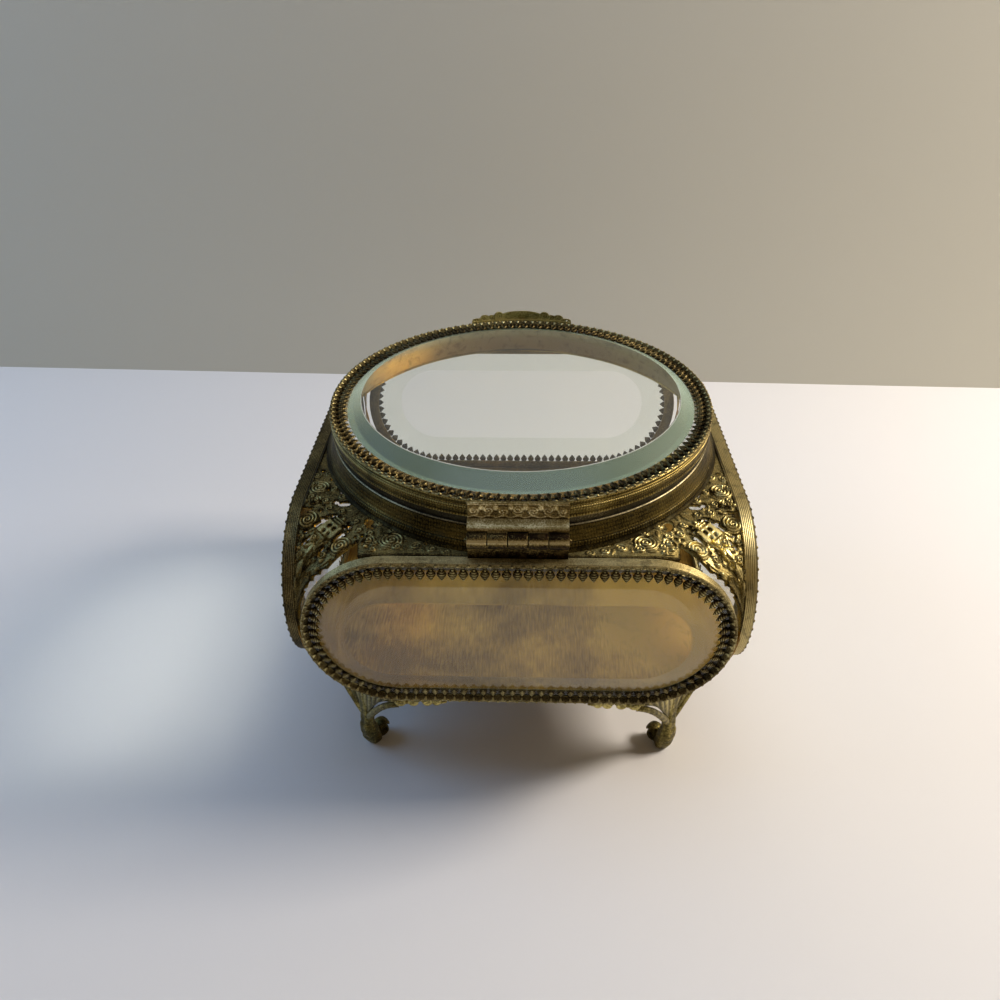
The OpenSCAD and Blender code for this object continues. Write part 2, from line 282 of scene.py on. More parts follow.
@dataclass(frozen=True)
class Track:
    """An outline with two straight sides and half-round ends."""

    straight: float
    radius: float
    bend_steps: int = 72

    def ring(self, inset: float) -> Array:
        """The outline drawn in by an inset.

        Args:
            inset: How far in it is drawn, in mm.

        Returns:
            Rows of two coordinates.
        """
        angle = np.linspace(-np.pi / 2, np.pi / 2, self.bend_steps + 1)
        end = (self.radius - inset) * np.stack([np.cos(angle), np.sin(angle)], -1)
        right = end + [self.straight, 0] if self.straight else end[:-1]
        return np.concatenate([right, -right])

    def sweep(self, profile: Array) -> Array:
        """Carries rows of inset and height round the outline, as a grid."""
        return np.stack([np.column_stack([self.ring(inset), np.full(len(self.ring(0)), height)])
                         for inset, height in profile])

    def length(self, inset: float) -> float:
        """Length of the outline drawn in by an inset."""
        return 4 * self.straight + 2 * math.pi * (self.radius - inset)

    def place(self, inset: float, share: Array) -> tuple[Array, Array, Array]:
        """Places along the outline.

        Args:
            inset: How far in the outline is drawn.
            share: Places as shares of the outline's length.

        Returns:
            Points, directions along the outline, and directions inwards.
        """
        radius = self.radius - inset
        bend, side = math.pi * radius, 2 * self.straight
        run = (np.asarray(share) % 1) * 2 * (bend + side)
        back = run >= bend + side
        run = np.where(back, run - bend - side, run)
        flip = np.where(back, -1.0, 1.0)[:, None]
        angle = np.pi / 2 - np.clip(run - side, 0, bend) / radius
        out = np.stack([np.cos(angle), np.sin(angle)], -1)
        on_side = np.clip(run, 0, side) - self.straight
        point = flip * (np.stack([on_side, 0 * run], -1) + radius * out)
        return point, flip * np.stack([out[:, 1], -out[:, 0]], -1), -flip * out


# ---- Finishes --------------------------------------------------------------


def linear(colour: str) -> tuple[float, float, float, float]:
    """Turns an sRGB hex colour into linear values with full alpha."""
    parts = [int(colour[i:i + 2], 16) / 255 for i in (1, 3, 5)]
    return (*[c / 12.92 if c <= 0.04045 else ((c + 0.055) / 1.055) ** 2.4 for c in parts], 1.0)


class Tree:
    """The nodes of a material or of the world, which grow one at a time."""

    def __init__(self, owner: bpy.types.Material | bpy.types.World) -> None:
        """Starts with an empty tree.

        Args:
            owner: The material or the world.
        """
        self.owner = owner
        owner.use_nodes = True
        owner.node_tree.nodes.clear()

    def add(self, kind: str, inputs: dict | tuple | list = (), out: int | str = 0, ramp: tuple = (),
            **settings) -> bpy.types.NodeSocket | None:
        """Adds a node.

        Args:
            kind: The node's type, without "ShaderNode".
            inputs: Values or other nodes' outputs, in order, or by name or number.
            out: Name or number of the output to give back.
            ramp: Stops of a colour ramp, as position and hex colour.
            **settings: The node's own settings.

        Returns:
            The output, or None where the node has none.
        """
        node = self.owner.node_tree.nodes.new("ShaderNode" + kind)
        for key, value in settings.items():
            setattr(node, key, value)
        for key, value in inputs.items() if isinstance(inputs, dict) else enumerate(inputs):
            if isinstance(value, bpy.types.NodeSocket):
                self.owner.node_tree.links.new(value, node.inputs[key])
            else:
                node.inputs[key].default_value = value
        stops = node.color_ramp.elements if ramp else ()
        for i, (position, colour) in enumerate(ramp):
            stop = stops[i] if i < 2 else stops.new(position)
            stop.position, stop.color = position, linear(colour)
        return node.outputs[out] if node.outputs else None

    def finish(self, surface: bpy.types.NodeSocket) -> bpy.types.Material | bpy.types.World:
        """Ends the tree.

        Args:
            surface: What goes to the output.

        Returns:
            The material or the world.
        """
        world = isinstance(self.owner, bpy.types.World)
        self.add("OutputWorld" if world else "OutputMaterial", (surface,))
        return self.owner


@dataclass(frozen=True)
class GiltBrass:
    """Brass, stamped, rolled or cast, then gilded and left to tarnish.

    The gilding survives as a soft gold on the high places, and the recesses
    keep a brown-black tarnish. Grain and blotches are real sizes in mm.
    """

    name: str
    slot: str
    recess: str = "#2b2414"
    middle: str = "#6e6035"
    # colour of the rubbed high places, and of the places where tones carry painted highlights
    rubbed_and_lit: str = "#a8965a"
    tarnish: str = "#4a4630"
    smooth: float = 0.34
    dull: float = 0.62
    grain_mm: float = 0.35
    blotch_mm: float = 14.0
    stain_mm: float = 2.6
    bump_mm: float = 0.03
    grit: float = 0.2
    stains: float = 0.55
    brushed: tuple[float, float, float] = (1.0, 1.0, 1.0)

    def material(self) -> bpy.types.Material:
        """Makes the finish's material.

        Returns:
            The material.
        """
        tree = Tree(bpy.data.materials.new(self.name))
        place = tree.add("TexCoord", out="Object")
        run = tree.add("Mapping", {"Vector": place, "Scale": self.brushed})
        grain = tree.add("TexNoise", {"Vector": run, "Scale": 1 / (self.grain_mm * MM),
                                      "Detail": 3.0})
        blotch = tree.add("TexNoise", {"Vector": place, "Scale": 1 / (self.blotch_mm * MM),
                                       "Detail": 5.0, "Roughness": 0.62})
        stain = tree.add("TexNoise", {"Vector": place, "Scale": 1 / (self.stain_mm * MM),
                                      "Detail": 4.0, "Distortion": 0.6})
        tone = tree.add("Attribute", out="Fac", attribute_name="tone")
        cloudy = tree.add("MapRange", (blotch, 0.3, 0.7, -0.2, 0.2))
        gritty = tree.add("MapRange", (grain, 0.3, 0.7, -self.grit, self.grit))
        patchy = tree.add("Math", (cloudy, gritty))
        wear_and_shading = tree.add("Math", (tone, patchy), use_clamp=True)
        gilding = tree.add("ValToRGB", (wear_and_shading,), ramp=(
            (0.08, self.recess), (0.88, self.rubbed_and_lit), (0.5, self.middle)))
        stained = tree.add("MapRange", (stain, 0.52, 0.72, 0.0, self.stains))
        colour = tree.add("Mix", {0: stained, 6: gilding, 7: linear(self.tarnish)}, out=2,
                          data_type="RGBA")
        rough = tree.add("MapRange", (wear_and_shading, 0.1, 0.9, self.dull, self.smooth))
        bump = tree.add("Bump", {"Height": grain, "Strength": 0.6,
                                 "Distance": self.bump_mm * MM})
        return tree.finish(tree.add("BsdfPrincipled", {
            "Base Color": colour, "Metallic": 1.0, "Roughness": rough, "Normal": bump}))


@dataclass(frozen=True)
class PlateGlass:
    """Polished plate glass with a ground and polished bevel.

    Clear, with the faint green of plate glass, and dusty in places, so it
    reads as glass by its edges, its reflections and a thin bloom.
    """

    name: str
    slot: str
    tint: str = "#fdfffc"
    bevel: str = "#eff5ea"
    shade: str = "#eceff0"
    bevel_rough: float = 0.1
    bevel_clear: float = 0.97
    dust_mm: float = 22.0
    bloom: float = 0.04
    index: float = 1.52

    def material(self) -> bpy.types.Material:
        """Makes the finish's material.

        Returns:
            The material.
        """
        tree = Tree(bpy.data.materials.new(self.name))
        place = tree.add("TexCoord", out="Object")
        dust = tree.add("TexNoise", {"Vector": place, "Scale": 1 / (self.dust_mm * MM),
                                     "Detail": 6.0, "Roughness": 0.7})
        bloom = tree.add("MapRange", (dust, 0.45, 0.75, 0.0, self.bloom))
        tone = tree.add("Attribute", out="Fac", attribute_name="tone")
        rough = tree.add("MapRange", (tone, 0.0, 1.0, bloom, self.bevel_rough))
        colour = tree.add("Mix", {0: tone, 6: linear(self.tint), 7: linear(self.bevel)}, out=2,
                          data_type="RGBA")
        clarity = tree.add("MapRange", (tone, 0.0, 1.0, 1.0, self.bevel_clear))
        pane = tree.add("BsdfPrincipled", {"Base Color": colour, "Roughness": rough,
                                           "IOR": self.index, "Transmission Weight": clarity})
        clear = tree.add("BsdfTransparent", (linear(self.shade),))
        shadow = tree.add("LightPath", out="Is Shadow Ray")
        return tree.finish(tree.add("MixShader", (shadow, pane, clear)))


@dataclass(frozen=True)
class Paint:
    """Matt paint or paper, for the table and the backdrop.

    The backdrop shows only its front, so the part is seen from behind it too.
    """

    name: str
    colour: str
    rough: float = 0.7
    one_sided: bool = False

    def material(self) -> bpy.types.Material:
        """Makes the finish's material.

        Returns:
            The material.
        """
        tree = Tree(bpy.data.materials.new(self.name))
        paint = tree.add("BsdfPrincipled", {"Base Color": linear(self.colour),
                                            "Roughness": self.rough})
        if self.one_sided:
            behind = tree.add("NewGeometry", out="Backfacing")
            paint = tree.add("MixShader", (behind, paint, tree.add("BsdfTransparent")))
        return tree.finish(paint)


# Stamped sheet: the ornament's ground is matt and dark, its tops are rubbed gold.
STAMPED = GiltBrass("stamped_gilt_brass_sheet", "gilt_sheet", recess="#2b2312",
                    middle="#94834f", rubbed_and_lit="#e0cf8c")
# Rolled band: smoother than the stamping, with a long soft highlight.
ROLLED = GiltBrass("rolled_gilt_brass_band", "gilt_band", recess="#1c170a", middle="#6c5c2e",
                   rubbed_and_lit="#b9a462", smooth=0.3, dull=0.5, bump_mm=0.015)
# Neck metal: a plain drawn band, darkened where no hand reaches.
DRAWN = GiltBrass("drawn_dark_brass_band", "gilt_band", recess="#1f1c14", middle="#4a4434",
                  rubbed_and_lit="#a89c78", smooth=0.42, dull=0.56, bump_mm=0.01)
# Reeded band: satin, with a fine grain that runs along it.
REEDED = GiltBrass("reeded_gilt_brass_band", "bezel_band", recess="#221d10", middle="#8c7c50",
                   rubbed_and_lit="#cdbc84", smooth=0.38, dull=0.58, bump_mm=0.015)
# Pierced prong strip: dark between the prongs, glinting on their ribs.
PRONGED = GiltBrass("pierced_brass_prong_strip", "prong_strip", recess="#281d0e",
                    middle="#746640", rubbed_and_lit="#c6ba82", smooth=0.34, dull=0.54, bump_mm=0.015)
# Cast foot: a grainy cast skin, greener and darker than the sheet.
CAST = GiltBrass("cast_gilt_brass", "cast_feet", recess="#262314", middle="#756a3c",
                 rubbed_and_lit="#c9b972", smooth=0.36, dull=0.6, grain_mm=0.6, bump_mm=0.06)
# Bare hinge brass: browned by handling, with a copper cast.
BROWNED = GiltBrass("browned_bare_brass", "hinge_metal", recess="#1d130b", middle="#8e7a48",
                    rubbed_and_lit="#e6d6a2", tarnish="#6a5730", smooth=0.28, dull=0.5, bump_mm=0.015)
# Bevelled plate glass: clear middle, and a softly ground bevel that blurs what it bends.
GLASS = PlateGlass("bevelled_plate_glass", "bevelled_glass")
# The lid's thicker plate: its bevel shows the sea green of old plate glass.
LID_GLASS = PlateGlass("bevelled_lid_plate_glass", "bevelled_glass", bevel="#c6e5c4",
                       bevel_rough=0.22, bevel_clear=0.8)
# Satin floor of the pan: brushed one way, so its highlights spread sideways.
SATIN = GiltBrass("satin_gilt_brass_floor", "gilt_sheet", recess="#4a3414", middle="#80602a",
                  rubbed_and_lit="#d8ac54", tarnish="#7a5c2c", smooth=0.28, dull=0.42, grain_mm=0.5,
                  blotch_mm=26.0, bump_mm=0.015, grit=0.09, stains=0.2,
                  brushed=(1.0, 0.1, 1.0))
TABLE = Paint("white_table_top", "#dedddb")
WALL = Paint("grey_backdrop_paper", "#cac7b8", one_sided=True)


@dataclass
class SubAssembly:
    """What every sub-assembly shares: how a form becomes a finished piece."""

    def piece(self, form: Form, name: str, finish: GiltBrass | PlateGlass, body: Body,
              *nodes: str, crease: float = 35.0) -> None:
        """Makes an object from a form and dresses it.

        Args:
            form: The shape.
            name: The piece's name.
            finish: Its finish.
            body: The body that it rides on.
            *nodes: The CAD nodes that it stands for.
            crease: Angle in degrees above which an edge stays sharp.
        """
        made = bpy.data.objects.new(name, form.mesh(name, crease))
        bpy.context.scene.collection.objects.link(made)
        known = bpy.data.materials.get(finish.name)
        made.data.materials.append(known or finish.material())
        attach(made, body.value)
        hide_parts(*nodes)
        log.info("%s: %d faces", name, len(made.data.polygons))


# ---- Stamped shell ---------------------------------------------------------


def bump(distance: Array, radius: float) -> Array:
    """A round-topped rise, 1 in the middle and 0 at a radius."""
    return np.sqrt(np.clip(1 - (distance / radius) ** 2, 0, 1))


@dataclass(frozen=True)
class Filigree:
    """The stamped and pierced ornament of one corner of the shell.

    It is laid out in mm across the corner's diagonal, and outwards from the
    collar along the sheet. Both halves are alike.
    """

    lift: float = 0.8
    ground: float = 0.1
    # across, out, radius, ring pitch, lift
    volutes: tuple = (
        (7.6, 14.6, 3.1, 0.92, 1.0), (16.6, 4.6, 3.3, 0.95, 0.7), (12.2, 8.8, 1.9, 0.85, 0.8),
        (19.6, 5.2, 1.5, 0.8, 0.6), (10.1, 6.8, 1.3, 0.8, 0.65), (3.1, 6.3, 1.2, 0.8, 0.55),
        (6.7, 8.0, 1.2, 0.8, 0.6), (13.6, 1.6, 1.3, 0.8, 0.4), (8.6, 2.3, 1.4, 0.8, 0.4),
        (22.6, 1.6, 1.5, 0.8, 0.45), (21.0, -1.6, 1.2, 0.8, 0.35), (26.4, -0.6, 1.3, 0.8, 0.35),
        (1.5, 17.0, 1.2, 0.8, 0.8), (4.9, 19.0, 1.1, 0.8, 0.75), (1.8, 22.6, 1.2, 0.8, 0.75),
        (3.9, 25.2, 1.0, 0.8, 0.7), (9.4, 19.4, 0.9, 0.8, 0.7), (14.4, 8.6, 1.1, 0.8, 0.6),
        (15.9, 10.4, 1.0, 0.8, 0.6), (29.8, -2.6, 1.2, 0.8, 0.3), (1.7, 27.6, 1.1, 0.8, 0.6))
    # from, to, half width, lift
    blades: tuple = (
        ((0.0, 18.3), (0.0, 21.4), 0.8, 0.95), ((0.6, 18.2), (2.4, 20.6), 0.6, 0.85),
        ((0.0, 23.2), (0.0, 27.4), 1.1, 0.85), ((0.9, 24.6), (2.8, 26.6), 0.6, 0.75),
        ((0.0, 28.4), (0.0, 33.0), 0.9, 0.7), ((0.9, 29.6), (2.3, 31.6), 0.5, 0.6),
        ((4.6, 10.4), (5.6, 12.6), 0.6, 0.8), ((3.0, 12.6), (4.6, 17.2), 0.55, 0.75),
        ((8.6, 10.8), (11.2, 11.4), 0.6, 0.75), ((10.2, 12.0), (11.0, 14.6), 0.5, 0.7),
        ((0.0, 3.2), (0.0, 7.4), 0.9, 0.5), ((1.5, 2.4), (2.5, 4.8), 0.6, 0.45),
        ((4.4, 5.6), (5.0, 7.8), 0.5, 0.55), ((5.4, 1.4), (7.0, 2.8), 0.6, 0.4),
        ((3.0, 0.2), (4.2, 2.4), 0.6, 0.3), ((10.4, 3.4), (12.2, 5.2), 0.6, 0.5),
        ((11.0, 6.2), (12.0, 7.2), 0.5, 0.6), ((8.2, 8.8), (9.6, 9.8), 0.5, 0.65),
        ((12.6, 3.6), (13.0, 6.4), 0.5, 0.5), ((16.4, -0.4), (18.4, 1.2), 0.5, 0.35),
        ((13.8, 6.8), (15.2, 7.6), 0.5, 0.55), ((18.8, 7.2), (17.0, 8.8), 0.5, 0.55),
        ((24.0, 0.4), (26.4, 1.6), 0.5, 0.35), ((20.6, 3.6), (22.0, 4.4), 0.5, 0.45),
        ((13.4, 12.6), (16.6, 11.2), 0.45, 0.6), ((8.2, 18.4), (6.8, 21.8), 0.45, 0.7))
    # across, out, radius, lift
    bosses: tuple = (
        (5.8, 20.4, 0.75, 1.0), (6.2, 22.9, 0.7, 0.95), (5.6, 25.6, 0.65, 0.9),
        (4.9, 28.3, 0.6, 0.8), (3.6, 21.6, 0.45, 0.8), (11.5, 13.2, 0.4, 0.8),
        (13.7, 10.9, 0.6, 0.9), (14.9, 9.7, 0.4, 0.8), (4.7, 9.4, 0.45, 0.7),
        (0.0, 7.9, 0.6, 0.75), (2.9, 15.8, 0.45, 0.8), (19.2, 2.2, 0.4, 0.5),
        (11.0, 9.9, 0.4, 0.7), (8.3, 6.4, 0.45, 0.6), (2.6, 19.0, 0.4, 0.8),
        (6.4, 5.9, 0.4, 0.5), (12.2, 10.9, 0.45, 0.8), (0.0, 22.3, 0.5, 0.9))
    # from, to, half width
    slots: tuple = (
        ((4.0, 11.3), (4.3, 14.2), 0.62), ((3.1, 17.6), (3.4, 20.2), 0.4),
        ((3.3, 8.4), (3.7, 8.8), 0.55), ((5.3, 3.5), (6.1, 4.3), 0.95),
        ((7.2, 5.2), (8.5, 4.7), 0.5), ((10.2, 1.2), (11.6, 0.7), 0.5),
        ((16.9, -0.6), (18.1, -0.5), 0.42), ((23.1, -1.1), (23.9, -1.2), 0.4),
        ((0.95, 11.9), (1.05, 12.1), 0.4), ((4.4, 9.9), (4.7, 10.2), 0.35),
        ((11.5, 9.9), (11.8, 10.1), 0.4), ((14.2, 3.6), (14.4, 2.9), 0.3),
        ((2.5, 9.7), (2.8, 9.9), 0.32), ((1.9, 7.9), (2.1, 8.0), 0.3),
        ((5.1, 11.5), (5.2, 11.8), 0.35), ((9.0, 8.4), (9.2, 8.6), 0.3),
        ((7.9, 10.0), (8.2, 10.2), 0.35), ((1.6, 24.6), (1.8, 25.0), 0.3),
        ((5.2, 17.1), (5.5, 17.4), 0.35), ((10.6, 8.2), (10.8, 8.3), 0.28))
    # corners of the notch: its tip, then its two ends
    notch: tuple = ((9.9, 10.6), (9.3, 16.0), (13.9, 13.4))
    # the capital's half width, foot, first reed, brim and top, and the reeds' pitch
    capital: tuple = (2.9, 8.5, 8.9, 10.6, 15.0, 0.85)
    # across, out and radius of the capital's pits
    pits: tuple = ((0.95, 11.8, 0.55), (0.95, 13.9, 0.55))
    # start and stop of the scalloped edge, the first valley and the pitch
    scallops: tuple = (17.4, 30.6, 18.2, 2.65)

    @staticmethod
    def along(across: Array, out: Array, a: tuple, b: tuple) -> tuple[Array, Array]:
        """Where each place lies by a line.

        Args:
            across: Distance of each place from the diagonal in mm.
            out: Distance of each place from the collar in mm.
            a: Start of the line, across and out.
            b: End of the line.

        Returns:
            Share along the line, held between 0 and 1, and distance from it.
        """
        step = np.subtract(b, a)
        share = ((across - a[0]) * step[0] + (out - a[1]) * step[1]) / (step @ step)
        held = np.clip(share, 0, 1)
        return held, np.hypot(across - a[0] - held * step[0], out - a[1] - held * step[1])

    def relief(self, across: Array, out: Array, edge: Array) -> tuple[Array, Array]:
        """Height and wear of the ornament.

        Args:
            across: Distance from the diagonal in mm.
            out: Distance outwards from the collar in mm.
            edge: Distance from the shell's edge in mm.

        Returns:
            Height in mm above the sheet, and its tone: rubbed bright on the tops, with painted
            shade at the foot of each raised shape.
        """
        across = np.abs(across)
        height, worn = np.zeros_like(across), np.zeros_like(across)
        for a, b, half, lift in self.blades:
            share, dist = self.along(across, out, a, b)
            width = half * np.clip(np.sin(np.pi * (0.14 + 0.8 * share)), 0.15, 1)
            vein = 1 - 0.4 * np.exp(-(dist / 0.13) ** 2)
            height = np.maximum(height, 0.8 * lift * vein * bump(dist, width))
        for x, y, radius, lift in self.bosses:
            height = np.maximum(height, lift * bump(np.hypot(across - x, out - y), radius))
        half, foot, first, brim, top, pitch = self.capital
        inside = (across < half) & (out > foot) & (out < top)
        pits = sum(np.exp(-(np.hypot(across - x, (out - y) / 1.2) / radius) ** 4)
                   for x, y, radius in self.pits)
        bars = np.where(out < brim, 0.5 + 0.5 * np.cos(2 * np.pi * (out - first) / pitch),
                        0.8 * (1 - pits))
        height = np.where(inside, np.maximum(height, 0.8 * bars), height)
        worn = np.where(inside & (out >= brim), 0.75 * (1 - pits), worn)
        for x, y, radius, pitch, lift in self.volutes:
            dist, swirl = polar(across - x, out - y)
            disc = bump(np.maximum(dist - 0.8 * radius, 0), 0.2 * radius)
            coil = 0.5 + 0.5 * np.cos(2 * np.pi * dist / pitch - swirl)
            height = height * np.clip((dist - 0.9 * radius) / 0.5, 0, 1)
            height = np.maximum(height, lift * (0.3 + 0.7 * coil) * disc)
            worn = np.where(disc > 0.02, coil * disc * (0.5 + 0.5 * lift), worn)
        height = np.maximum(height, 0.4 * bump(edge - 0.35, 0.45))
        stipple = 0.5 + 0.5 * np.sin(across * 7.1 + np.sin(out * 3.3)) * np.sin(out * 6.7)
        # painted shade: a dark ring at the foot of every raised shape
        shade = np.interp(height, [0, 0.05, 0.25, 0.5, 0.9], [0.5, 0.1, 0.3, 0.62, 0.9])
        tone = np.where(worn > 0, 0.12 + 0.88 * worn, shade - 0.08 * stipple * (height < 0.05))
        return self.lift * height - self.ground * (1 - np.clip(height * 3, 0, 1)) * stipple, tone

    def opening(self, across: Array, out: Array, edge: Array) -> Array:
        """How far inside an opening each place is.

        Args:
            across: Distance from the diagonal in mm.
            out: Distance outwards from the collar in mm.
            edge: Distance from the shell's edge in mm.

        Returns:
            Depth in mm, above 0 where the sheet is pierced.
        """
        across = np.abs(across)
        depth = np.full_like(across, -9.0)
        for a, b, half in self.slots:
            depth = np.maximum(depth, 1.25 * half - self.along(across, out, a, b)[1])
        tip, left, right = self.notch
        sides = []
        for corner, turn in ((left, 1), (right, -1)):
            run = np.subtract(corner, tip) / np.hypot(*np.subtract(corner, tip))
            sides.append(turn * ((across - tip[0]) * run[1] - (out - tip[1]) * run[0]))
        depth = np.maximum(depth, np.minimum(*sides))
        start, stop, valley, pitch = self.scallops
        scallop = 0.15 + 0.95 * np.abs(np.sin(np.pi * (out - valley) / pitch))
        return np.maximum(depth, np.minimum(scallop - edge, np.minimum(out - start, stop - out)))


@dataclass
class Shell(SubAssembly):
    """The stamped square shell: a pierced shoulder above and a pan below."""

    half_w: float = 59.2
    bend_r: float = 25.0
    mid_z: float = 62.1
    neck_r: float = 56.0
    sheet: float = 0.9
    fine: float = 0.21
    coarse: float = 0.7
    ornament: Filigree = field(default_factory=Filigree)
    skew: float = 1.8
    # places along a column when its length is measured
    samples: int = 1600
    # half width of the painted shadow under the hinge, given alike to the middle of every side
    hinge_shadow_w: float = 11.0
    # tones of the sheet's inside, in the shoulder and on the floor
    under_tone: float = 0.7
    floor_tone: float = 0.6
    # painted light and shade on each corner of the shoulder, as factors on its tones, from the back
    # right one round
    wear_and_shading: tuple = (0.78, 1.2, 1.0, 0.78)
    # x, y, radius and gain of the floor's brighter patches, partly wear and partly a painted
    # highlight
    rubbed_and_lit: tuple = ((-42.0, 32.0, 18.0, 0.5), (18.0, 10.0, 26.0, 0.1))

    def fall(self, x: Array, y: Array) -> tuple[Array, Array, Array]:
        """How far over the corner each place is.

        Args:
            x: Places along X.
            y: Places along Y.

        Returns:
            Shares of the bend along X, along Y and in all.
        """
        start = self.half_w - self.bend_r
        u, v = (np.clip((np.abs(a) - start) / self.bend_r, 0, None) for a in (x, y))
        return u, v, np.minimum(u * v, 1)

    def corner(self, step: float, inner_r: float, pierced: bool, skew: float = 0.0) -> Form:
        """Builds the +X +Y quarter of the shell, above its middle height.

        Args:
            step: Size of its cells in mm.
            inner_r: Radius of the neck opening, or 0 for none.
            pierced: Whether the ornament's openings are cut.
            skew: How far the ornament is set off the corner's diagonal.

        Returns:
            The quarter, as a closed sheet.
        """
        reach = self.half_w / math.sqrt(2)
        cols = 2 * round(reach / step) + 1
        across = np.linspace(-reach, reach, cols) * (1 - 1e-6)
        start = np.maximum(np.sqrt(np.clip(inner_r ** 2 - across ** 2, 0, None)), np.abs(across))
        stop = 2 * reach - np.abs(across)
        # each column's length along the sheet, so that its rows are evenly spaced
        fine = np.linspace(0, 1, self.samples)[:, None] * (stop - start) + start
        height = self.bend_r * np.sqrt(1 - self.fall((fine + across) / math.sqrt(2),
                                                     (fine - across) / math.sqrt(2))[2] ** 2)
        arc = np.zeros_like(fine)
        arc[1:] = np.cumsum(np.hypot(np.diff(fine, axis=0), np.diff(height, axis=0)), axis=0)
        rows = round(float(arc[-1].max()) / step)
        share = np.linspace(0, 1, rows + 1)
        middle = np.stack([np.interp(share * arc[-1, j], arc[:, j], fine[:, j])
                           for j in range(cols)], 1)
        out = share[:, None] * arc[-1] + start - self.neck_r
        across = np.repeat(across[None], rows + 1, 0)

        def at(mid: Array, side: Array) -> tuple[Array, Array, Array]:
            """Finds places on the sheet.

            Args:
                mid: Distance along the diagonal in mm.
                side: Distance across it in mm.

            Returns:
                Plan coordinates and distance from the shell's edge.
            """
            x, y = (mid + side) / math.sqrt(2), (mid - side) / math.sqrt(2)
            u, v, q = self.fall(x, y)
            slope = np.where(x > y, v, u) * q / np.sqrt(np.maximum(1 - q * q, 0.02))
            return x, y, (self.half_w - np.maximum(x, y)) * np.hypot(1, slope)

        x, y, edge = at(middle, across)
        if pierced:
            # points near the edge of an opening are moved onto it
            depth = self.ornament.opening(across - skew, out, edge)
            down = np.gradient(depth, axis=0) / np.maximum(np.gradient(out, axis=0), 1e-3)
            over = np.gradient(depth, axis=1) / np.gradient(across, axis=1)
            steep = np.maximum(down ** 2 + over ** 2, 0.2)
            near = (np.abs(depth) < 0.6 * step) & (edge > 0.3)
            near[[0, -1]] = near[:, [0, -1]] = False
            shift = np.where(near, -depth / steep, 0)
            pace = np.gradient(middle, axis=0) / np.maximum(np.gradient(out, axis=0), 1e-3)
            across = across + np.clip(shift * over, -step / 2, step / 2)
            moved = np.clip(shift * down, -step / 2, step / 2)
            out = out + moved
            middle = middle + moved * pace
            x, y, edge = at(middle, across)
        u, v, q = self.fall(x, y)
        normal = np.stack([q * v, q * u, np.sqrt(np.clip(1 - q * q, 0, 1))], -1)
        normal /= np.linalg.norm(normal, axis=-1, keepdims=True)
        relief, tone = self.ornament.relief(across - skew, out, edge)
        border = np.clip(edge / 0.5, 0, 1) * (pierced | (out > 8))
        relief = relief * border * np.clip(np.hypot(x, y) / self.neck_r * 9 - 8.2, 0, 1)
        skin = np.stack([x, y, self.bend_r * np.sqrt(1 - q * q)], -1)
        front, back = skin + relief[..., None] * normal, skin - self.sheet * normal
        if not pierced:
            return Form().add_sheet(front, back, np.clip(0.3 + relief, 0, 1), self.floor_tone)
        hole = self.ornament.opening(across - skew, out, edge)
        # painted shade: darker round each opening and along the shell's edge
        tone = tone * np.clip(0.25 - hole / 0.7, 0.15, 1) * np.clip(edge / 1.1, 0.2, 1)
        # painted shadow of the hinge: the middle of each side of the shoulder is darkened, on all
        # four sides alike
        hinge_shadow = np.exp(-(np.minimum(x, y) / self.hinge_shadow_w) ** 4)
        tone = tone * (1 - 0.8 * hinge_shadow) - 0.25 * hinge_shadow
        tone *= np.interp(out, [18, 25], [1, 0.6])
        across, out, edge = ((a[1:, 1:] + a[1:, :-1] + a[:-1, 1:] + a[:-1, :-1]) / 4
                             for a in (across, out, edge))
        kept = self.ornament.opening(across - skew, out, edge) <= 0
        return Form().add_sheet(front, back, tone, self.under_tone, kept)

    def build(self) -> None:
        """Makes the shoulder's four corners, and the pan with its four corners."""
        above = [self.corner(self.fine, self.neck_r, True, way) for way in (self.skew, -self.skew)]
        below = self.corner(self.coarse, 0.0, False)
        flip = np.diag([1.0, 1.0, -1.0])
        for k, name in enumerate(CORNERS):
            upper = Form().merge(above[k % 2], turned(90 * k), (0, 0, self.mid_z))
            # painted light and shade: each corner of the shoulder is lighter or darker by how the
            # lamps fall on it
            upper.tones = [np.minimum(upper.tones[0] * self.wear_and_shading[k], 1)]
            lower = Form().merge(below, turned(90 * k) @ flip, (0, 0, self.mid_z))
            # brighter patches on the floor: partly wear, partly a painted highlight
            for x, y, radius, gain in self.rubbed_and_lit:
                away = np.hypot(lower.points[0][:, 0] - x, lower.points[0][:, 1] - y) / radius
                lower.tones = [np.clip(lower.tones[0] + gain * np.exp(-away ** 2), 0, 1)]
            self.piece(upper, f"shoulder_{name}", STAMPED, Body.CASKET, "shoulder", crease=60)
            self.piece(lower, f"pan_{name}", SATIN, Body.CASKET, "base_pan", crease=60)


# ---- Windows ---------------------------------------------------------------


def pane_profile(edge: float, under: float, low: float, start: float, stop: float,
                 high: float) -> tuple[Array, Array]:
    """Profile of a bevelled pane, with a softly rounded arris inside the bevel.

    Args:
        edge: Inset of the pane's edge.
        under: Height of its underside.
        low: Height of its border.
        start: Inset at which the bevel starts.
        stop: Inset at which the flat middle starts.
        high: Height of the flat middle.

    Returns:
        Rows of inset and height, and the tone of each: 1 on the bevel.
    """
    way = math.copysign(1.0, stop - start)
    slope = (high - low) / (stop - start)
    soft = 0.28 * way
    rows = [(edge, under), (edge, low - 0.12), (edge + 0.12 * way, low), (start, low),
            (start + 0.03 * way, low + 0.03 * slope * way)]
    rows += [(stop + soft * u, high - slope * soft * (1 - u) ** 2 / 4)
             for u in (-1.0, -0.6, -0.2, 0.2, 0.6, 1.0)]
    return np.array(rows), np.array([0, 0, 0, 0, 1, 1, 1, 0.5, 0, 0, 0])


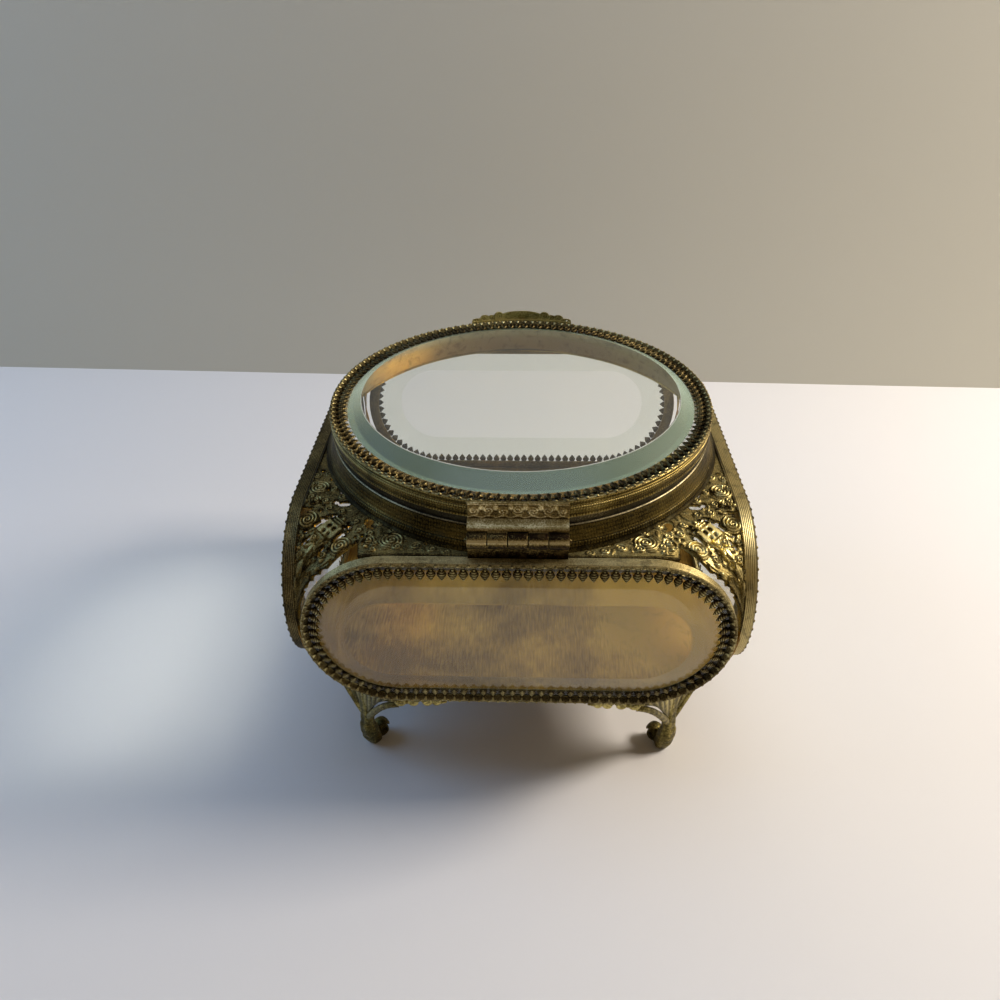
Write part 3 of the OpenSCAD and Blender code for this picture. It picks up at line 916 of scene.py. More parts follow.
@dataclass
class Prongs:
    """The pierced strip of leaf-shaped prongs that holds a pane.

    It laps over the edge of its band, so its studs notch the outline. Cupped
    prongs have raised rims, and the others are ribbed across.
    """

    track: Track
    cupped: bool = False
    pitch: float = 2.7
    root: float = 2.2
    tip: float = 5.15
    half: float = 1.22
    lap: float = 0.6
    lean: float = 0.0
    rib_pitch: float = 0.62

    def form(self, level: float) -> Form:
        """Builds the strip, its wedges, its studs and its prongs.

        Args:
            level: Height of the glass under the prongs.

        Returns:
            The strip, in the window's own flat coordinates.
        """
        edge = level + self.lap
        strip = self.track.sweep([(0.3, edge - 0.05), (0.12, edge + 0.08), (0.3, edge + 0.18),
                                  (0.95, edge + 0.14), (1.2, level + 0.6 * self.lap + 0.15),
                                  (self.root - 0.4, level + 0.24), (self.root - 0.35, level),
                                  (1.1, level), (1.06, edge - 0.05)])
        made = Form().add_grid(strip, [0.4, 0.65, 0.5, 0.4, 0.25, 0.3, 0.5, 0.5, 0.2], ring=True)
        index = np.arange(round(self.track.length(self.root) / self.pitch))
        for offset, (shape, tone) in ((0, self.wedge(level)), (0.5, self.stud(edge)),
                                      (0, self.prong(level))):
            share = (index + offset) / len(index)
            for point, along, inward in zip(*self.track.place(self.root, share)):
                flat = point + along * shape[..., :1] + inward * shape[..., 1:2]
                made.add_grid(np.concatenate([flat, shape[..., 2:]], -1), tone)
        return made

    def wedge(self, level: float) -> tuple[Array, Array]:
        """The flat-topped wedge at each prong's root, its point inwards.

        Args:
            level: Height of the glass.

        Returns:
            Grid of distances along the outline, inwards and up, and its tones.
        """
        corner = np.array([(-0.5, 0.85 - self.root), (0.5, 0.85 - self.root), (0.0, -0.15)])
        middle = corner.mean(0)
        slope = np.array([self.lap, self.lap, 0.0])
        rows = [np.column_stack([middle + size * (corner - middle), level + slope + rise])
                for size, rise in ((1.15, 0.02), (0.95, 0.34), (0.7, 0.42))]
        return np.stack(rows), np.array([0.0, 0.5, 0.85])

    def stud(self, edge: float) -> tuple[Array, Array]:
        """The pointed stud outside each gap between the prongs.

        Args:
            edge: Height of the band's edge.

        Returns:
            Grid of distances along the outline, inwards and up, and its tones.
        """
        angle = circle(6)
        rows = [np.column_stack([size * np.cos(angle),
                                 0.5 - self.root + 0.9 * size * np.sin(angle),
                                 np.full(6, edge + rise)])
                for size, rise in ((0.6, 0.02), (0.46, 0.32), (0.16, 0.52))]
        return np.stack(rows), np.array([0.1, 0.45, 0.7])

    def prong(self, level: float) -> tuple[Array, Array]:
        """A pointed palm leaf on a narrow neck, ribbed or cupped.

        Args:
            level: Height of the glass.

        Returns:
            Grid of distances along the outline, inwards and up, and its tones.
        """
        reach = np.linspace(-0.5, self.tip - self.root, 24)
        part = np.clip(reach / (self.tip - self.root), 0, 1)
        width = self.half * np.interp(part, [0, 0.08, 0.2, 0.34, 0.5, 0.66, 0.84, 1],
                                      [0.36, 0.38, 0.66, 0.96, 1.0, 0.76, 0.4, 0.03])
        cross = np.array([-1, -0.62, -0.25, 0.25, 0.62, 1, 0.62, -0.62])
        bow = 0.16 * (1 - np.abs(cross))
        ribs = 0.1 * np.cos(2 * np.pi * (reach[:, None] - bow) / self.rib_pitch)
        if self.cupped:
            rise, ribs = np.array([0.35, 1, 0.45, 0.45, 1, 0.35, 0, 0]), 0.5 * ribs
            worn = np.array([0.5, 1.3, 0.25, 0.25, 1.3, 0.5, 0, 0]) * 0.65
        else:
            rise = np.array([0.12, 0.7, 1, 1, 0.7, 0.12, 0, 0])
            worn = rise ** 1.5
        ridge = np.interp(part, [0, 0.25, 0.6, 1], [0.5, 0.6, 0.5, 0.2])[:, None] + ribs
        bent = self.lean * part + (0.5 * self.lap) * np.clip(-reach / 0.5, 0, 1)
        height = level + 0.02 + bent[:, None] + ridge * rise
        inward = np.broadcast_to(reach[:, None], height.shape)
        return (np.stack([width[:, None] * cross, inward, height], -1),
                np.clip((0.42 + 3.6 * ribs) * worn, 0, 1))


@dataclass
class Windows(SubAssembly):
    """The four windows: bezel, bevelled pane and prong strip."""

    half_w: float = Shell.half_w
    mid_z: float = Shell.mid_z
    track: Track = Track(32.5, 25.0)
    depth: float = 3.5
    wall: float = 1.0
    flange: float = 0.6
    flange_inset: float = 3.6
    reeds: int = 6
    reed_depth: float = 0.16
    pane_inset: float = 1.3
    pane_edge: float = 1.8
    bevel_inset: float = 4.0
    bevel_w: float = 7.8
    bevel_rise: float = 2.4
    prong_lap: float = 1.0
    prong_lean: float = 1.1
    # half width of the painted shadow under the hinge
    hinge_shadow_w: float = Shell.hinge_shadow_w
    # painted light and shade on each side's band, as factors on its tones: front, right, back and
    # left
    wear_and_shading: tuple = (1.0, 0.55, 1.05, 1.8)

    def bezel(self, wear_and_shading: float) -> Form:
        """The deep band, reeded outside, with the flange that backs the pane.

        Args:
            wear_and_shading: Painted light and shade on this side, a factor on the band's tones.

        Returns:
            The band, in flat coordinates.
        """
        reed = np.linspace(0, 1, self.reeds * 6 + 1)
        height = 0.1 + reed * (self.depth - 0.6)
        wave = self.reed_depth * np.abs(np.sin(np.pi * reed * self.reeds)) ** 0.7
        outside = [(self.reed_depth - w, h) for w, h in zip(wave, height)]
        profile = np.array([(0.2, 0.0), *outside, (0.06, self.depth - 0.3),
                            (0.25, self.depth - 0.06), (0.5, self.depth),
                            (0.8, self.depth - 0.08), (self.wall, self.depth - 0.35),
                            (self.wall, self.flange), (self.flange_inset, self.flange),
                            (self.flange_inset, 0.0)])
        tone = np.concatenate([[0.2], 0.3 + 0.45 * wave / self.reed_depth,
                               [0.6, 0.85, 0.95, 0.7, 0.3, 0.1, 0.3, 0.5]])
        grid = self.track.sweep(profile)
        # painted shadow of the hinge on the middle of the band's upper half, given to all four
        # bands alike
        hinge_shadow = 0.97 * np.exp(-(grid[..., 0] / self.hinge_shadow_w) ** 4) * (grid[..., 1] > 0)
        # the band's tones are scaled by its side's painted light and shade
        return Form().add_grid(grid, wear_and_shading * tone[:, None] * (1 - hinge_shadow) - 0.3 * hinge_shadow, ring=True)

    def pane(self) -> Form:
        """The pane: a flat border, a polished bevel and a raised flat middle.

        Returns:
            The pane, in flat coordinates.
        """
        low = self.flange + self.pane_edge
        rows, tone = pane_profile(self.pane_inset, self.flange, low, self.bevel_inset,
                                  self.bevel_inset + self.bevel_w, low + self.bevel_rise)
        return Form().add_grid(self.track.sweep(rows), tone)

    def on_side(self, flat: Form, side: Side) -> Form:
        """Stands a flat form up and turns it onto a side.

        Args:
            flat: The form.
            side: Where it goes.

        Returns:
            The form in its place.
        """
        turn = turned(side.value)
        stand = np.array([[1, 0, 0], [0, 0, -1], [0, 1, 0]], float)
        return Form().merge(flat, turn @ stand, turn @ np.array([0, -self.half_w, self.mid_z]))

    def build(self) -> None:
        """Makes the three pieces of each window."""
        pane = self.pane()
        strip = Prongs(self.track, lap=self.prong_lap, lean=self.prong_lean)
        prongs = strip.form(self.flange + self.pane_edge)
        # each side's band gets its own painted light and shade
        for side, wear_and_shading in zip(Side, self.wear_and_shading):
            for flat, kind, finish, node, crease in (
                    (self.bezel(wear_and_shading), "band", REEDED, "bezel", 50),
                    (pane, "pane", GLASS, "glass", 8),
                    (prongs, "prongs", PRONGED, "gallery", 50)):
                name = side.name.lower()
                self.piece(self.on_side(flat, side), f"{name}_{kind}", finish, Body.CASKET,
                           f"{name}_{node}", crease=crease)


# ---- Collar and lid --------------------------------------------------------


@dataclass
class Collar(SubAssembly):
    """The collar under the lid: a plain neck, a rolled edge and a milled foot."""

    mill_pitch: float = 0.8
    mill_depth: float = 0.16
    steps: int = 360
    # radius, height and tone down the neck's outside, over the rolled edge
    neck: tuple = ((54.9, 95.5, 0.5), (55.15, 95.7, 0.7), (55.4, 95.55, 0.45),
                   (55.45, 94.4, 0.35), (55.5, 93.75, 0.1), (55.75, 93.68, 0.6),
                   (55.95, 93.55, 0.8), (56.0, 93.42, 0.8), (55.92, 93.28, 0.4))
    # radius and height down the pebbled flare, then down the milled foot
    flare: tuple = ((55.9, 93.1), (56.35, 92.2), (56.65, 91.2), (57.1, 90.2), (57.5, 89.5),
                    (57.3, 89.35))
    foot: tuple = ((57.35, 89.4), (57.6, 89.3), (57.85, 88.9), (58.1, 88.5), (58.25, 88.2),
                   (58.5, 87.8), (58.85, 87.4), (59.05, 87.1))
    # radius, height and tone up the band's inside, then radius and height up the ring's
    lining: tuple = ((57.0, 87.1, 0.2), (55.9, 87.1, 1.0), (54.8, 92.6, 1.0),
                     (54.75, 95.3, 0.9))
    ring_lining: tuple = ((57.0, 87.1), (55.9, 92.7))

    def build(self) -> None:
        """Makes the band and its milled ring."""
        neck, flare, lining = np.array(self.neck), np.array(self.flare), np.array(self.lining)
        profile = np.concatenate([neck[:, :2], flare, lining[:, :2]])
        dull = np.interp(np.arange(len(flare)), [0, 2, 5], [0.1, 0.35, 0.15])
        band = Form().add_grid(lathe(profile, self.steps),
                               np.concatenate([neck[:, 2], dull, lining[:, 2]]), ring=True)
        self.piece(band, "collar_band", DRAWN, Body.CASKET, "collar", crease=40)
        self.piece(self.milled_ring(), "milled_ring", ROLLED, Body.CASKET, "collar_foot_ring",
                   crease=60)

    def milled_ring(self) -> Form:
        """The flare and the foot, pebbled above and milled in two rows below.

        Returns:
            The ring.
        """
        steps = 4 * round(2 * math.pi * self.ring_lining[0][0] / self.mill_pitch)
        outer = np.concatenate([np.array(self.flare)[:-1] + [0.08, 0.0], np.array(self.foot)])
        run = np.concatenate([[0], np.cumsum(np.hypot(*np.diff(outer, axis=0).T))])
        fine = np.linspace(0, run[-1], 34)
        grid = lathe(np.column_stack([np.interp(fine, run, outer[:, k]) for k in (0, 1)]), steps)
        angle = np.arange(steps) / 4
        beads = np.zeros((len(fine), steps))
        split = run[len(self.flare) - 1]
        pebbles = np.linspace(0.5, split - 0.4, 4)
        for middle, size, depth in (*((m, 0.42, 0.45) for m in pebbles), (split + 0.55, 0.34, 1.0),
                                    (split + 1.25, 0.34, 0.8)):
            row = depth * bump(fine - middle, size)[:, None]
            beads = np.maximum(beads, row * np.abs(np.sin(np.pi * (angle + middle * 1.7))) ** 0.7)
        outward = grid[..., :2] / np.linalg.norm(grid[..., :2], axis=-1, keepdims=True)
        grid[..., :2] += outward * self.mill_depth * (beads[..., None] - 0.5)
        shade = np.interp(fine, [0, split - 0.2, split, fine[-1]], [0.3, 0.42, 0.05, 0.3])[:, None]
        tone = np.concatenate([np.clip(shade + 0.45 * (beads - 0.3), 0, 1),
                               np.full((2, steps), 0.2)])
        return Form().add_grid(np.concatenate([grid, lathe(self.ring_lining, steps)]), tone,
                               ring=True)


@dataclass
class Lid(SubAssembly):
    """The round lid: rim, beaded wire, bevelled pane and prong strip."""

    radius: float = 56.4
    bottom: float = 96.05
    skirt: float = 2.0
    flange: float = 0.6
    pane_edge: float = 1.8
    top: float = 101.65
    wall: float = 1.0
    pane_r: float = 55.1
    ledge_r: float = 52.1
    bevel_r: float = 51.2
    bevel_w: float = 6.6
    bevel_oval: float = 2.6
    bevel_rise: float = 2.4
    wire_r: float = 0.3
    bead_pitch: float = 0.66
    mill_pitch: float = 0.8
    mill_depth: float = 0.14
    prong_pitch: float = 2.57
    steps: int = 360
    # height, radius beyond the rim's, tone and milling up the rim's side, with a
    # ridge at each edge and one either side of the wire
    side: tuple = ((0.0, -0.3, 0.2, 0), (0.12, -0.1, 0.7, 0), (0.35, 0.0, 0.8, 1),
                   (0.65, -0.1, 0.6, 1), (0.8, -0.34, 0.1, 0), (1.05, -0.4, 0.3, 0),
                   (1.5, -0.3, 0.45, 0.6), (1.85, -0.4, 0.3, 0), (1.95, -0.2, 0.5, 0),
                   (2.15, -0.08, 0.75, 1), (2.38, -0.22, 0.5, 0), (2.45, -0.64, 0.0, 0),
                   (3.15, -0.64, 0.0, 0), (3.22, -0.22, 0.5, 0), (3.45, -0.08, 0.75, 1),
                   (3.65, -0.2, 0.5, 0), (3.75, -0.4, 0.3, 0), (4.1, -0.3, 0.45, 0.6),
                   (4.4, -0.4, 0.1, 0), (4.5, -0.12, 0.6, 0), (4.7, 0.0, 0.9, 1),
                   (4.9, -0.1, 0.7, 0), (5.0, -0.3, 0.4, 0), (5.0, -0.9, 0.2, 0))

    @property
    def seat_z(self) -> float:
        """Height of the ledge under the pane."""
        return self.bottom + self.skirt + self.flange

    def rim(self) -> Form:
        """The milled rim, with the ledge inside it.

        Returns:
            The rim.
        """
        height, beyond, tone, mill = np.array(self.side).T
        inner, seat = self.radius - self.wall, self.seat_z
        rows = [*zip(self.radius + beyond, self.bottom + height), (inner, seat),
                (self.ledge_r, seat), (self.ledge_r, seat - self.flange),
                (inner, seat - self.flange), (inner, self.bottom + 0.1)]
        steps = 4 * round(2 * math.pi * self.radius / self.mill_pitch)
        grid = lathe(rows, steps)
        notch = np.abs(np.cos(np.arange(steps) * np.pi / 4)) ** 2
        milled = np.concatenate([mill, np.zeros(5)])[:, None] * notch
        grid[..., :2] *= 1 - (self.mill_depth / self.radius * milled)[..., None]
        tone = np.concatenate([tone, [0.1, 0.2, 0.4, 0.3, 0.3]])[:, None]
        return Form().add_grid(grid, np.clip(tone - 0.5 * milled, 0, 1), ring=True)

    def beaded_wire(self) -> Form:
        """A wire of fine beads, swelling and narrowing round the rim.

        Returns:
            The wire.
        """
        middle_r = self.radius - self.wire_r - 0.03
        steps = 4 * round(2 * math.pi * middle_r / self.bead_pitch)
        turn = np.arange(steps) * 2 * np.pi / steps
        swell = self.wire_r * (0.5 + 0.5 * np.abs(np.sin(np.arange(steps) * np.pi / 4)))
        ring = circle(8)[:, None]
        radius = middle_r + swell * np.cos(ring)
        height = (self.bottom + self.top) / 2 + swell * np.sin(ring)
        grid = np.stack([radius * np.cos(turn), radius * np.sin(turn), height], -1)
        return Form().add_grid(grid, (swell / self.wire_r)[None], ring=True)

    def pane(self) -> Form:
        """The round bevelled pane, its bevel narrower at two sides.

        Returns:
            The pane.
        """
        edge = self.seat_z + self.pane_edge
        inner = self.bevel_r - self.bevel_w
        rows, tone = pane_profile(self.pane_r, self.seat_z, edge, self.bevel_r, inner,
                                  edge + self.bevel_rise)
        grid = lathe(rows, self.steps)
        grid[..., 0] *= np.interp(rows[:, 0], [inner, self.bevel_r],
                                  [1 + self.bevel_oval / inner, 1])[:, None]
        return Form().add_grid(grid, tone)

    def build(self) -> None:
        """Makes the lid's four pieces."""
        prongs = Prongs(Track(0.0, self.radius, 180), cupped=True, pitch=self.prong_pitch)
        self.piece(self.rim(), "lid_band", ROLLED, Body.LID, "lid_rim", crease=50)
        self.piece(self.beaded_wire(), "beaded_wire", ROLLED, Body.LID, "lid_bead", crease=80)
        self.piece(self.pane(), "lid_pane", LID_GLASS, Body.LID, "lid_glass", crease=8)
        self.piece(prongs.form(self.seat_z + self.pane_edge), "lid_prongs", PRONGED, Body.LID,
                   "lid_gallery", crease=50)


@dataclass
class FingerTab(SubAssembly):
    """The ornamental tab that lifts the lid: a smooth shield between scrolls."""

    width: float = 35.0
    height: float = 3.0
    seat: float = 2.4
    thick: float = 0.45
    radius: float = Lid.radius
    top: float = Lid.top
    # number of places along the tab and up it
    places: tuple = (211, 37)
    # middle, height share and half width of each step of the outline
    steps: tuple = ((0.0, 1.0, 6.7), (8.1, 0.94, 1.6), (10.6, 0.6, 1.45), (13.1, 0.68, 1.5),
                    (15.8, 0.34, 1.6))
    # place along and up, and radius
    hole: tuple = (-15.9, 0.38, 0.3)
    # half width of the smooth middle, then half width, half height and level of its shield
    middle_w: float = 6.9
    shield: tuple = (6.2, 1.6, 1.1)

    def outline(self, x: Array) -> Array:
        """Finds the tab's upper edge.

        Args:
            x: Places along it in mm.

        Returns:
            Height above the rim at each.
        """
        across = np.abs(x)
        rise = np.full_like(across, -0.8)
        for middle, share, half in self.steps:
            top = 0.6 + 0.4 * bump(across - middle, half)
            rise = np.maximum(rise, self.height * share * top * (np.abs(across - middle) < half))
        return np.maximum(rise, 0.1)

    def relief(self, x: Array, z: Array, rise: Array) -> Array:
        """Shapes the shield and the scrolls on the tab's face.

        Args:
            x: Places along the tab in mm.
            z: Places up it in mm.
            rise: Height of its upper edge in mm.

        Returns:
            Height above the plain face in mm.
        """
        across = np.abs(x)
        lift = 0.26 * bump(rise - z - 0.2, 0.4)
        for middle, share, half in self.steps[1:]:
            dist, swirl = polar(across - middle, z - self.height * share * 0.5)
            lift = np.maximum(lift, (0.3 + 0.14 * np.cos(2 * np.pi * dist / 0.7 - swirl))
                              * bump(dist, half))
        wide, high, level = self.shield
        oval = np.hypot(across / wide, (z - level) / high)
        shield = 0.3 * bump(oval, 1.0) + 0.22 * bump(oval - 1.05, 0.22)
        fan = 0.2 * bump(np.abs(np.sin(across * 1.9 + z * 0.5)) - 0.5, 0.6) * (oval > 1.2)
        return np.where(across < self.middle_w, np.maximum(shield, fan), lift)

    def build(self) -> None:
        """Makes the tab, its scrolls hollow on the back."""
        along, up = self.places
        x = np.linspace(-self.width / 2, self.width / 2, along)
        rise = self.outline(x)
        z = -self.seat + (rise + self.seat) * np.linspace(0, 1, up)[:, None]
        across = np.repeat(x[None], up, 0)
        lift = self.relief(across, z, rise)
        seat_y = np.sqrt(self.radius ** 2 - x ** 2)
        face = np.stack([across, -(seat_y + self.thick + lift), z], -1)
        hollow = np.where(z > 0.1, 0.75 * lift, 0)
        back = np.stack([across, -(seat_y + 0.02 + hollow), z], -1)
        middle = (z[1:, 1:] + z[:-1, :-1]) / 2
        kept = np.hypot(across[1:, 1:] - self.hole[0], middle - self.hole[1]) > self.hole[2]
        # the back, which faces into the lid, is painted light where it is flat, with painted shade
        # in the hollows behind the scrolls
        flat = Form().add_sheet(face, back, np.clip(0.3 + lift * 1.7, 0, 1),
                                np.clip(1 - 1.6 * hollow, 0, 1), kept)
        self.piece(Form().merge(flat, move=(0, 0, self.top)), "finger_tab", STAMPED, Body.LID,
                   "lift_tab", crease=60)


# ---- Hinge -----------------------------------------------------------------


@dataclass
class Hinge(SubAssembly):
    """The five-knuckle hinge: two leaves and a pin."""

    width: float = 25.0
    knuckles: int = 5
    knuckle_r: float = 2.1
    gap: float = 0.2
    pin_r: float = 0.75
    soften: float = 0.22
    steps: int = 48
    axis_y: float = 60.5
    axis_z: float = 93.1
    lid_r: float = Lid.radius
    lid_z: float = Lid.bottom
    leaf_top: float = 102.1
    leaf_t: float = 0.9
    body_y: float = 59.15
    body_z: float = 87.1
    # y, z and tone round the lid leaf's foot, then round the apron under it
    flange: tuple = ((56.5, 96.05, 0.1), (58.2, 96.02, 0.1), (58.75, 95.8, 0.4),
                     (59.0, 95.84, 0.95), (59.04, 96.0, 1.0), (58.5, 96.4, 0.6),
                     (57.8, 96.8, 0.5), (57.1, 97.35, 0.5))
    apron: tuple = ((57.8, 96.4, 0.3), (58.3, 95.1, 0.1), (59.0, 94.97, 0.1),
                    (59.75, 95.32, 0.3), (59.55, 95.75, 0.6), (58.9, 96.15, 0.5))
    # y and z round the strap from the lid leaf to its knuckles
    strap: tuple = ((57.7, 96.25), (58.3, 94.7), (59.2, 93.6), (60.5, 94.6), (59.9, 95.2),
                    (58.8, 96.1))
    # across, up and radius of the lid leaf's scrolls, then across those of its buds
    scrolls: tuple = ((0.0, 3.7, 1.7), (3.7, 3.4, 1.6), (7.3, 3.8, 1.6), (10.7, 3.5, 1.4))
    buds: tuple = (1.8, 5.5, 9.0)
    # height on the leaf of the buds, the wavy line and the upper edge
    levels: tuple = (4.4, 1.85, 5.55)

    def places(self, count: int) -> Array:
        """Places evenly spread along the hinge."""
        return np.linspace(-self.width / 2, self.width / 2, count)

    def turned_on_axis(self, profile: list, steps: int) -> Array:
        """Turns a profile about the hinge's axis.

        Args:
            profile: Rows of radius and place along the hinge.
            steps: Number of places round the axis.

        Returns:
            A grid with a row for each profile point.
        """
        grid = lathe(profile, steps)
        return np.stack([grid[..., 2], grid[..., 0] + self.axis_y, grid[..., 1] + self.axis_z],
                        -1)

    def add_knuckles(self, form: Form, first: int, web: Array) -> Form:
        """Adds every other knuckle: a rolled tube, its seam and its web.

        Args:
            form: The leaf that they are added to.
            first: Number of the first knuckle.
            web: Outline in y and z of the metal that joins them to the leaf.

        Returns:
            The leaf.
        """
        pitch = self.width / self.knuckles
        angle = np.degrees(circle(self.steps))
        # painted highlight: a bright band round the outward face of each knuckle, while the rest of
        # it stays dark
        painted_highlight = np.exp(-(((angle + 155) % 360 - 180) / 15) ** 2)
        for index in range(first, self.knuckles, 2):
            start = -self.width / 2 + index * pitch + (0 if index == 0 else self.gap / 2)
            inner = 0 < index < self.knuckles - 1
            stop = start + pitch - (self.gap if inner else self.gap / 2)
            half = [(self.pin_r + 0.05, 0), (self.knuckle_r - self.soften, 0),
                    (self.knuckle_r - 0.07, 0.07), (self.knuckle_r, self.soften)]
            profile = [(r, start + x) for r, x in half] + [(r, stop - x) for r, x in half[::-1]]
            tone = np.array([[0.0], [0.05], [0.2], [0.06], [0.06], [0.2], [0.05], [0.0]]) + painted_highlight
            form.add_grid(self.turned_on_axis(profile, self.steps), np.clip(tone, 0, 1),
                          ring=True)
            form.add_bar(web, (start, stop), 0.3)
        return form

    def leaf_relief(self, x: Array, z: Array) -> Array:
        """Shapes the stamped scrolls on the upper leaf.

        Args:
            x: Places along the leaf in mm.
            z: Places up it in mm.

        Returns:
            Height of the relief in mm.
        """
        across = np.abs(x)
        lift = np.zeros_like(x)
        bud_z, wave_z, edge_z = self.levels
        for middle, level, size in self.scrolls:
            dist, swirl = polar(across - middle, z - level)
            coil = 0.66 + 0.34 * np.cos(2 * np.pi * dist / 0.95 - 2 * swirl)
            lift = np.maximum(lift, coil * bump(dist, size))
        for middle in self.buds:
            dist = np.hypot((across - middle) * 1.4, z - bud_z)
            lift = np.maximum(lift, 0.8 * bump(dist, 1.1))
        lift = np.maximum(lift, 0.65 * bump(z - wave_z - 0.24 * np.cos(across * 1.75), 0.38))
        return 0.34 * np.maximum(lift, 0.7 * bump(z - edge_z, 0.4))

    def lid_leaf(self) -> Form:
        """The tall leaf on the lid, stamped above and plain below.

        Returns:
            The leaf, with two knuckles.
        """
        z = np.linspace(0, self.leaf_top - self.lid_z, 37)
        across, up = np.meshgrid(self.places(141), z)
        lift = self.leaf_relief(across, up)
        rim = np.minimum(self.width / 2 - np.abs(across), np.minimum(up, z[-1] - up))
        face_y = self.lid_r + self.leaf_t - 0.3 + np.minimum(lift, 0.3) - 0.25 * (rim < 0.1)
        face = np.stack([across, face_y, up + self.lid_z], -1)
        back = np.stack([across, np.full_like(across, self.lid_r), up + self.lid_z], -1)
        form = Form().add_sheet(face, back, np.clip(0.5 + 1.5 * (lift - 0.1), 0, 1))
        for rim in (np.array(self.flange), np.array(self.apron)):
            form.add_bar(rim[:, :2], self.places(26), rim[:, 2])
        return self.add_knuckles(form, 1, np.array(self.strap))

    def body_leaf(self) -> Form:
        """The short leaf that stands on the shoulder.

        Returns:
            The leaf, with three knuckles.
        """
        top = self.axis_z - self.knuckle_r - self.gap
        outer = self.body_y + self.leaf_t
        outline = np.array([(self.body_y, self.body_z), (outer, self.body_z),
                            (outer, top - 0.15), (outer - 0.15, top), (self.body_y, top)])
        web = np.array([(self.body_y + 0.04, top - 0.4), (outer - 0.04, top - 0.4),
                        (outer - 0.04, self.axis_z - 1.5), (self.body_y + 0.04, self.axis_z - 1.5)])
        # painted shadow over the leaf's face, and a painted highlight along its top edge
        form = Form().add_bar(outline, self.places(9), [0.0, 0.0, 0.3, 1.0, 0.6])
        return self.add_knuckles(form, 0, web)

    def pin(self) -> Form:
        """The pin, with domed ends.

        Returns:
            The pin.
        """
        end = self.width / 2 + self.pin_r
        dome = [(self.pin_r * math.cos(a), end - self.pin_r + self.pin_r * math.sin(a))
                for a in np.linspace(0, 1.5, 6)]
        profile = [(r, -z) for r, z in dome[::-1]] + dome
        return Form().add_grid(self.turned_on_axis(profile, 32), 0.15)

    def build(self) -> None:
        """Makes the hinge's three pieces."""
        self.piece(self.lid_leaf(), "upper_leaf", BROWNED, Body.LID, "hinge_lid_leaf")
        self.piece(self.body_leaf(), "lower_leaf", BROWNED, Body.CASKET, "hinge_body_leaf")
        self.piece(self.pin(), "pin", BROWNED, Body.CASKET, "hinge_pin")


# ---- Feet ------------------------------------------------------------------


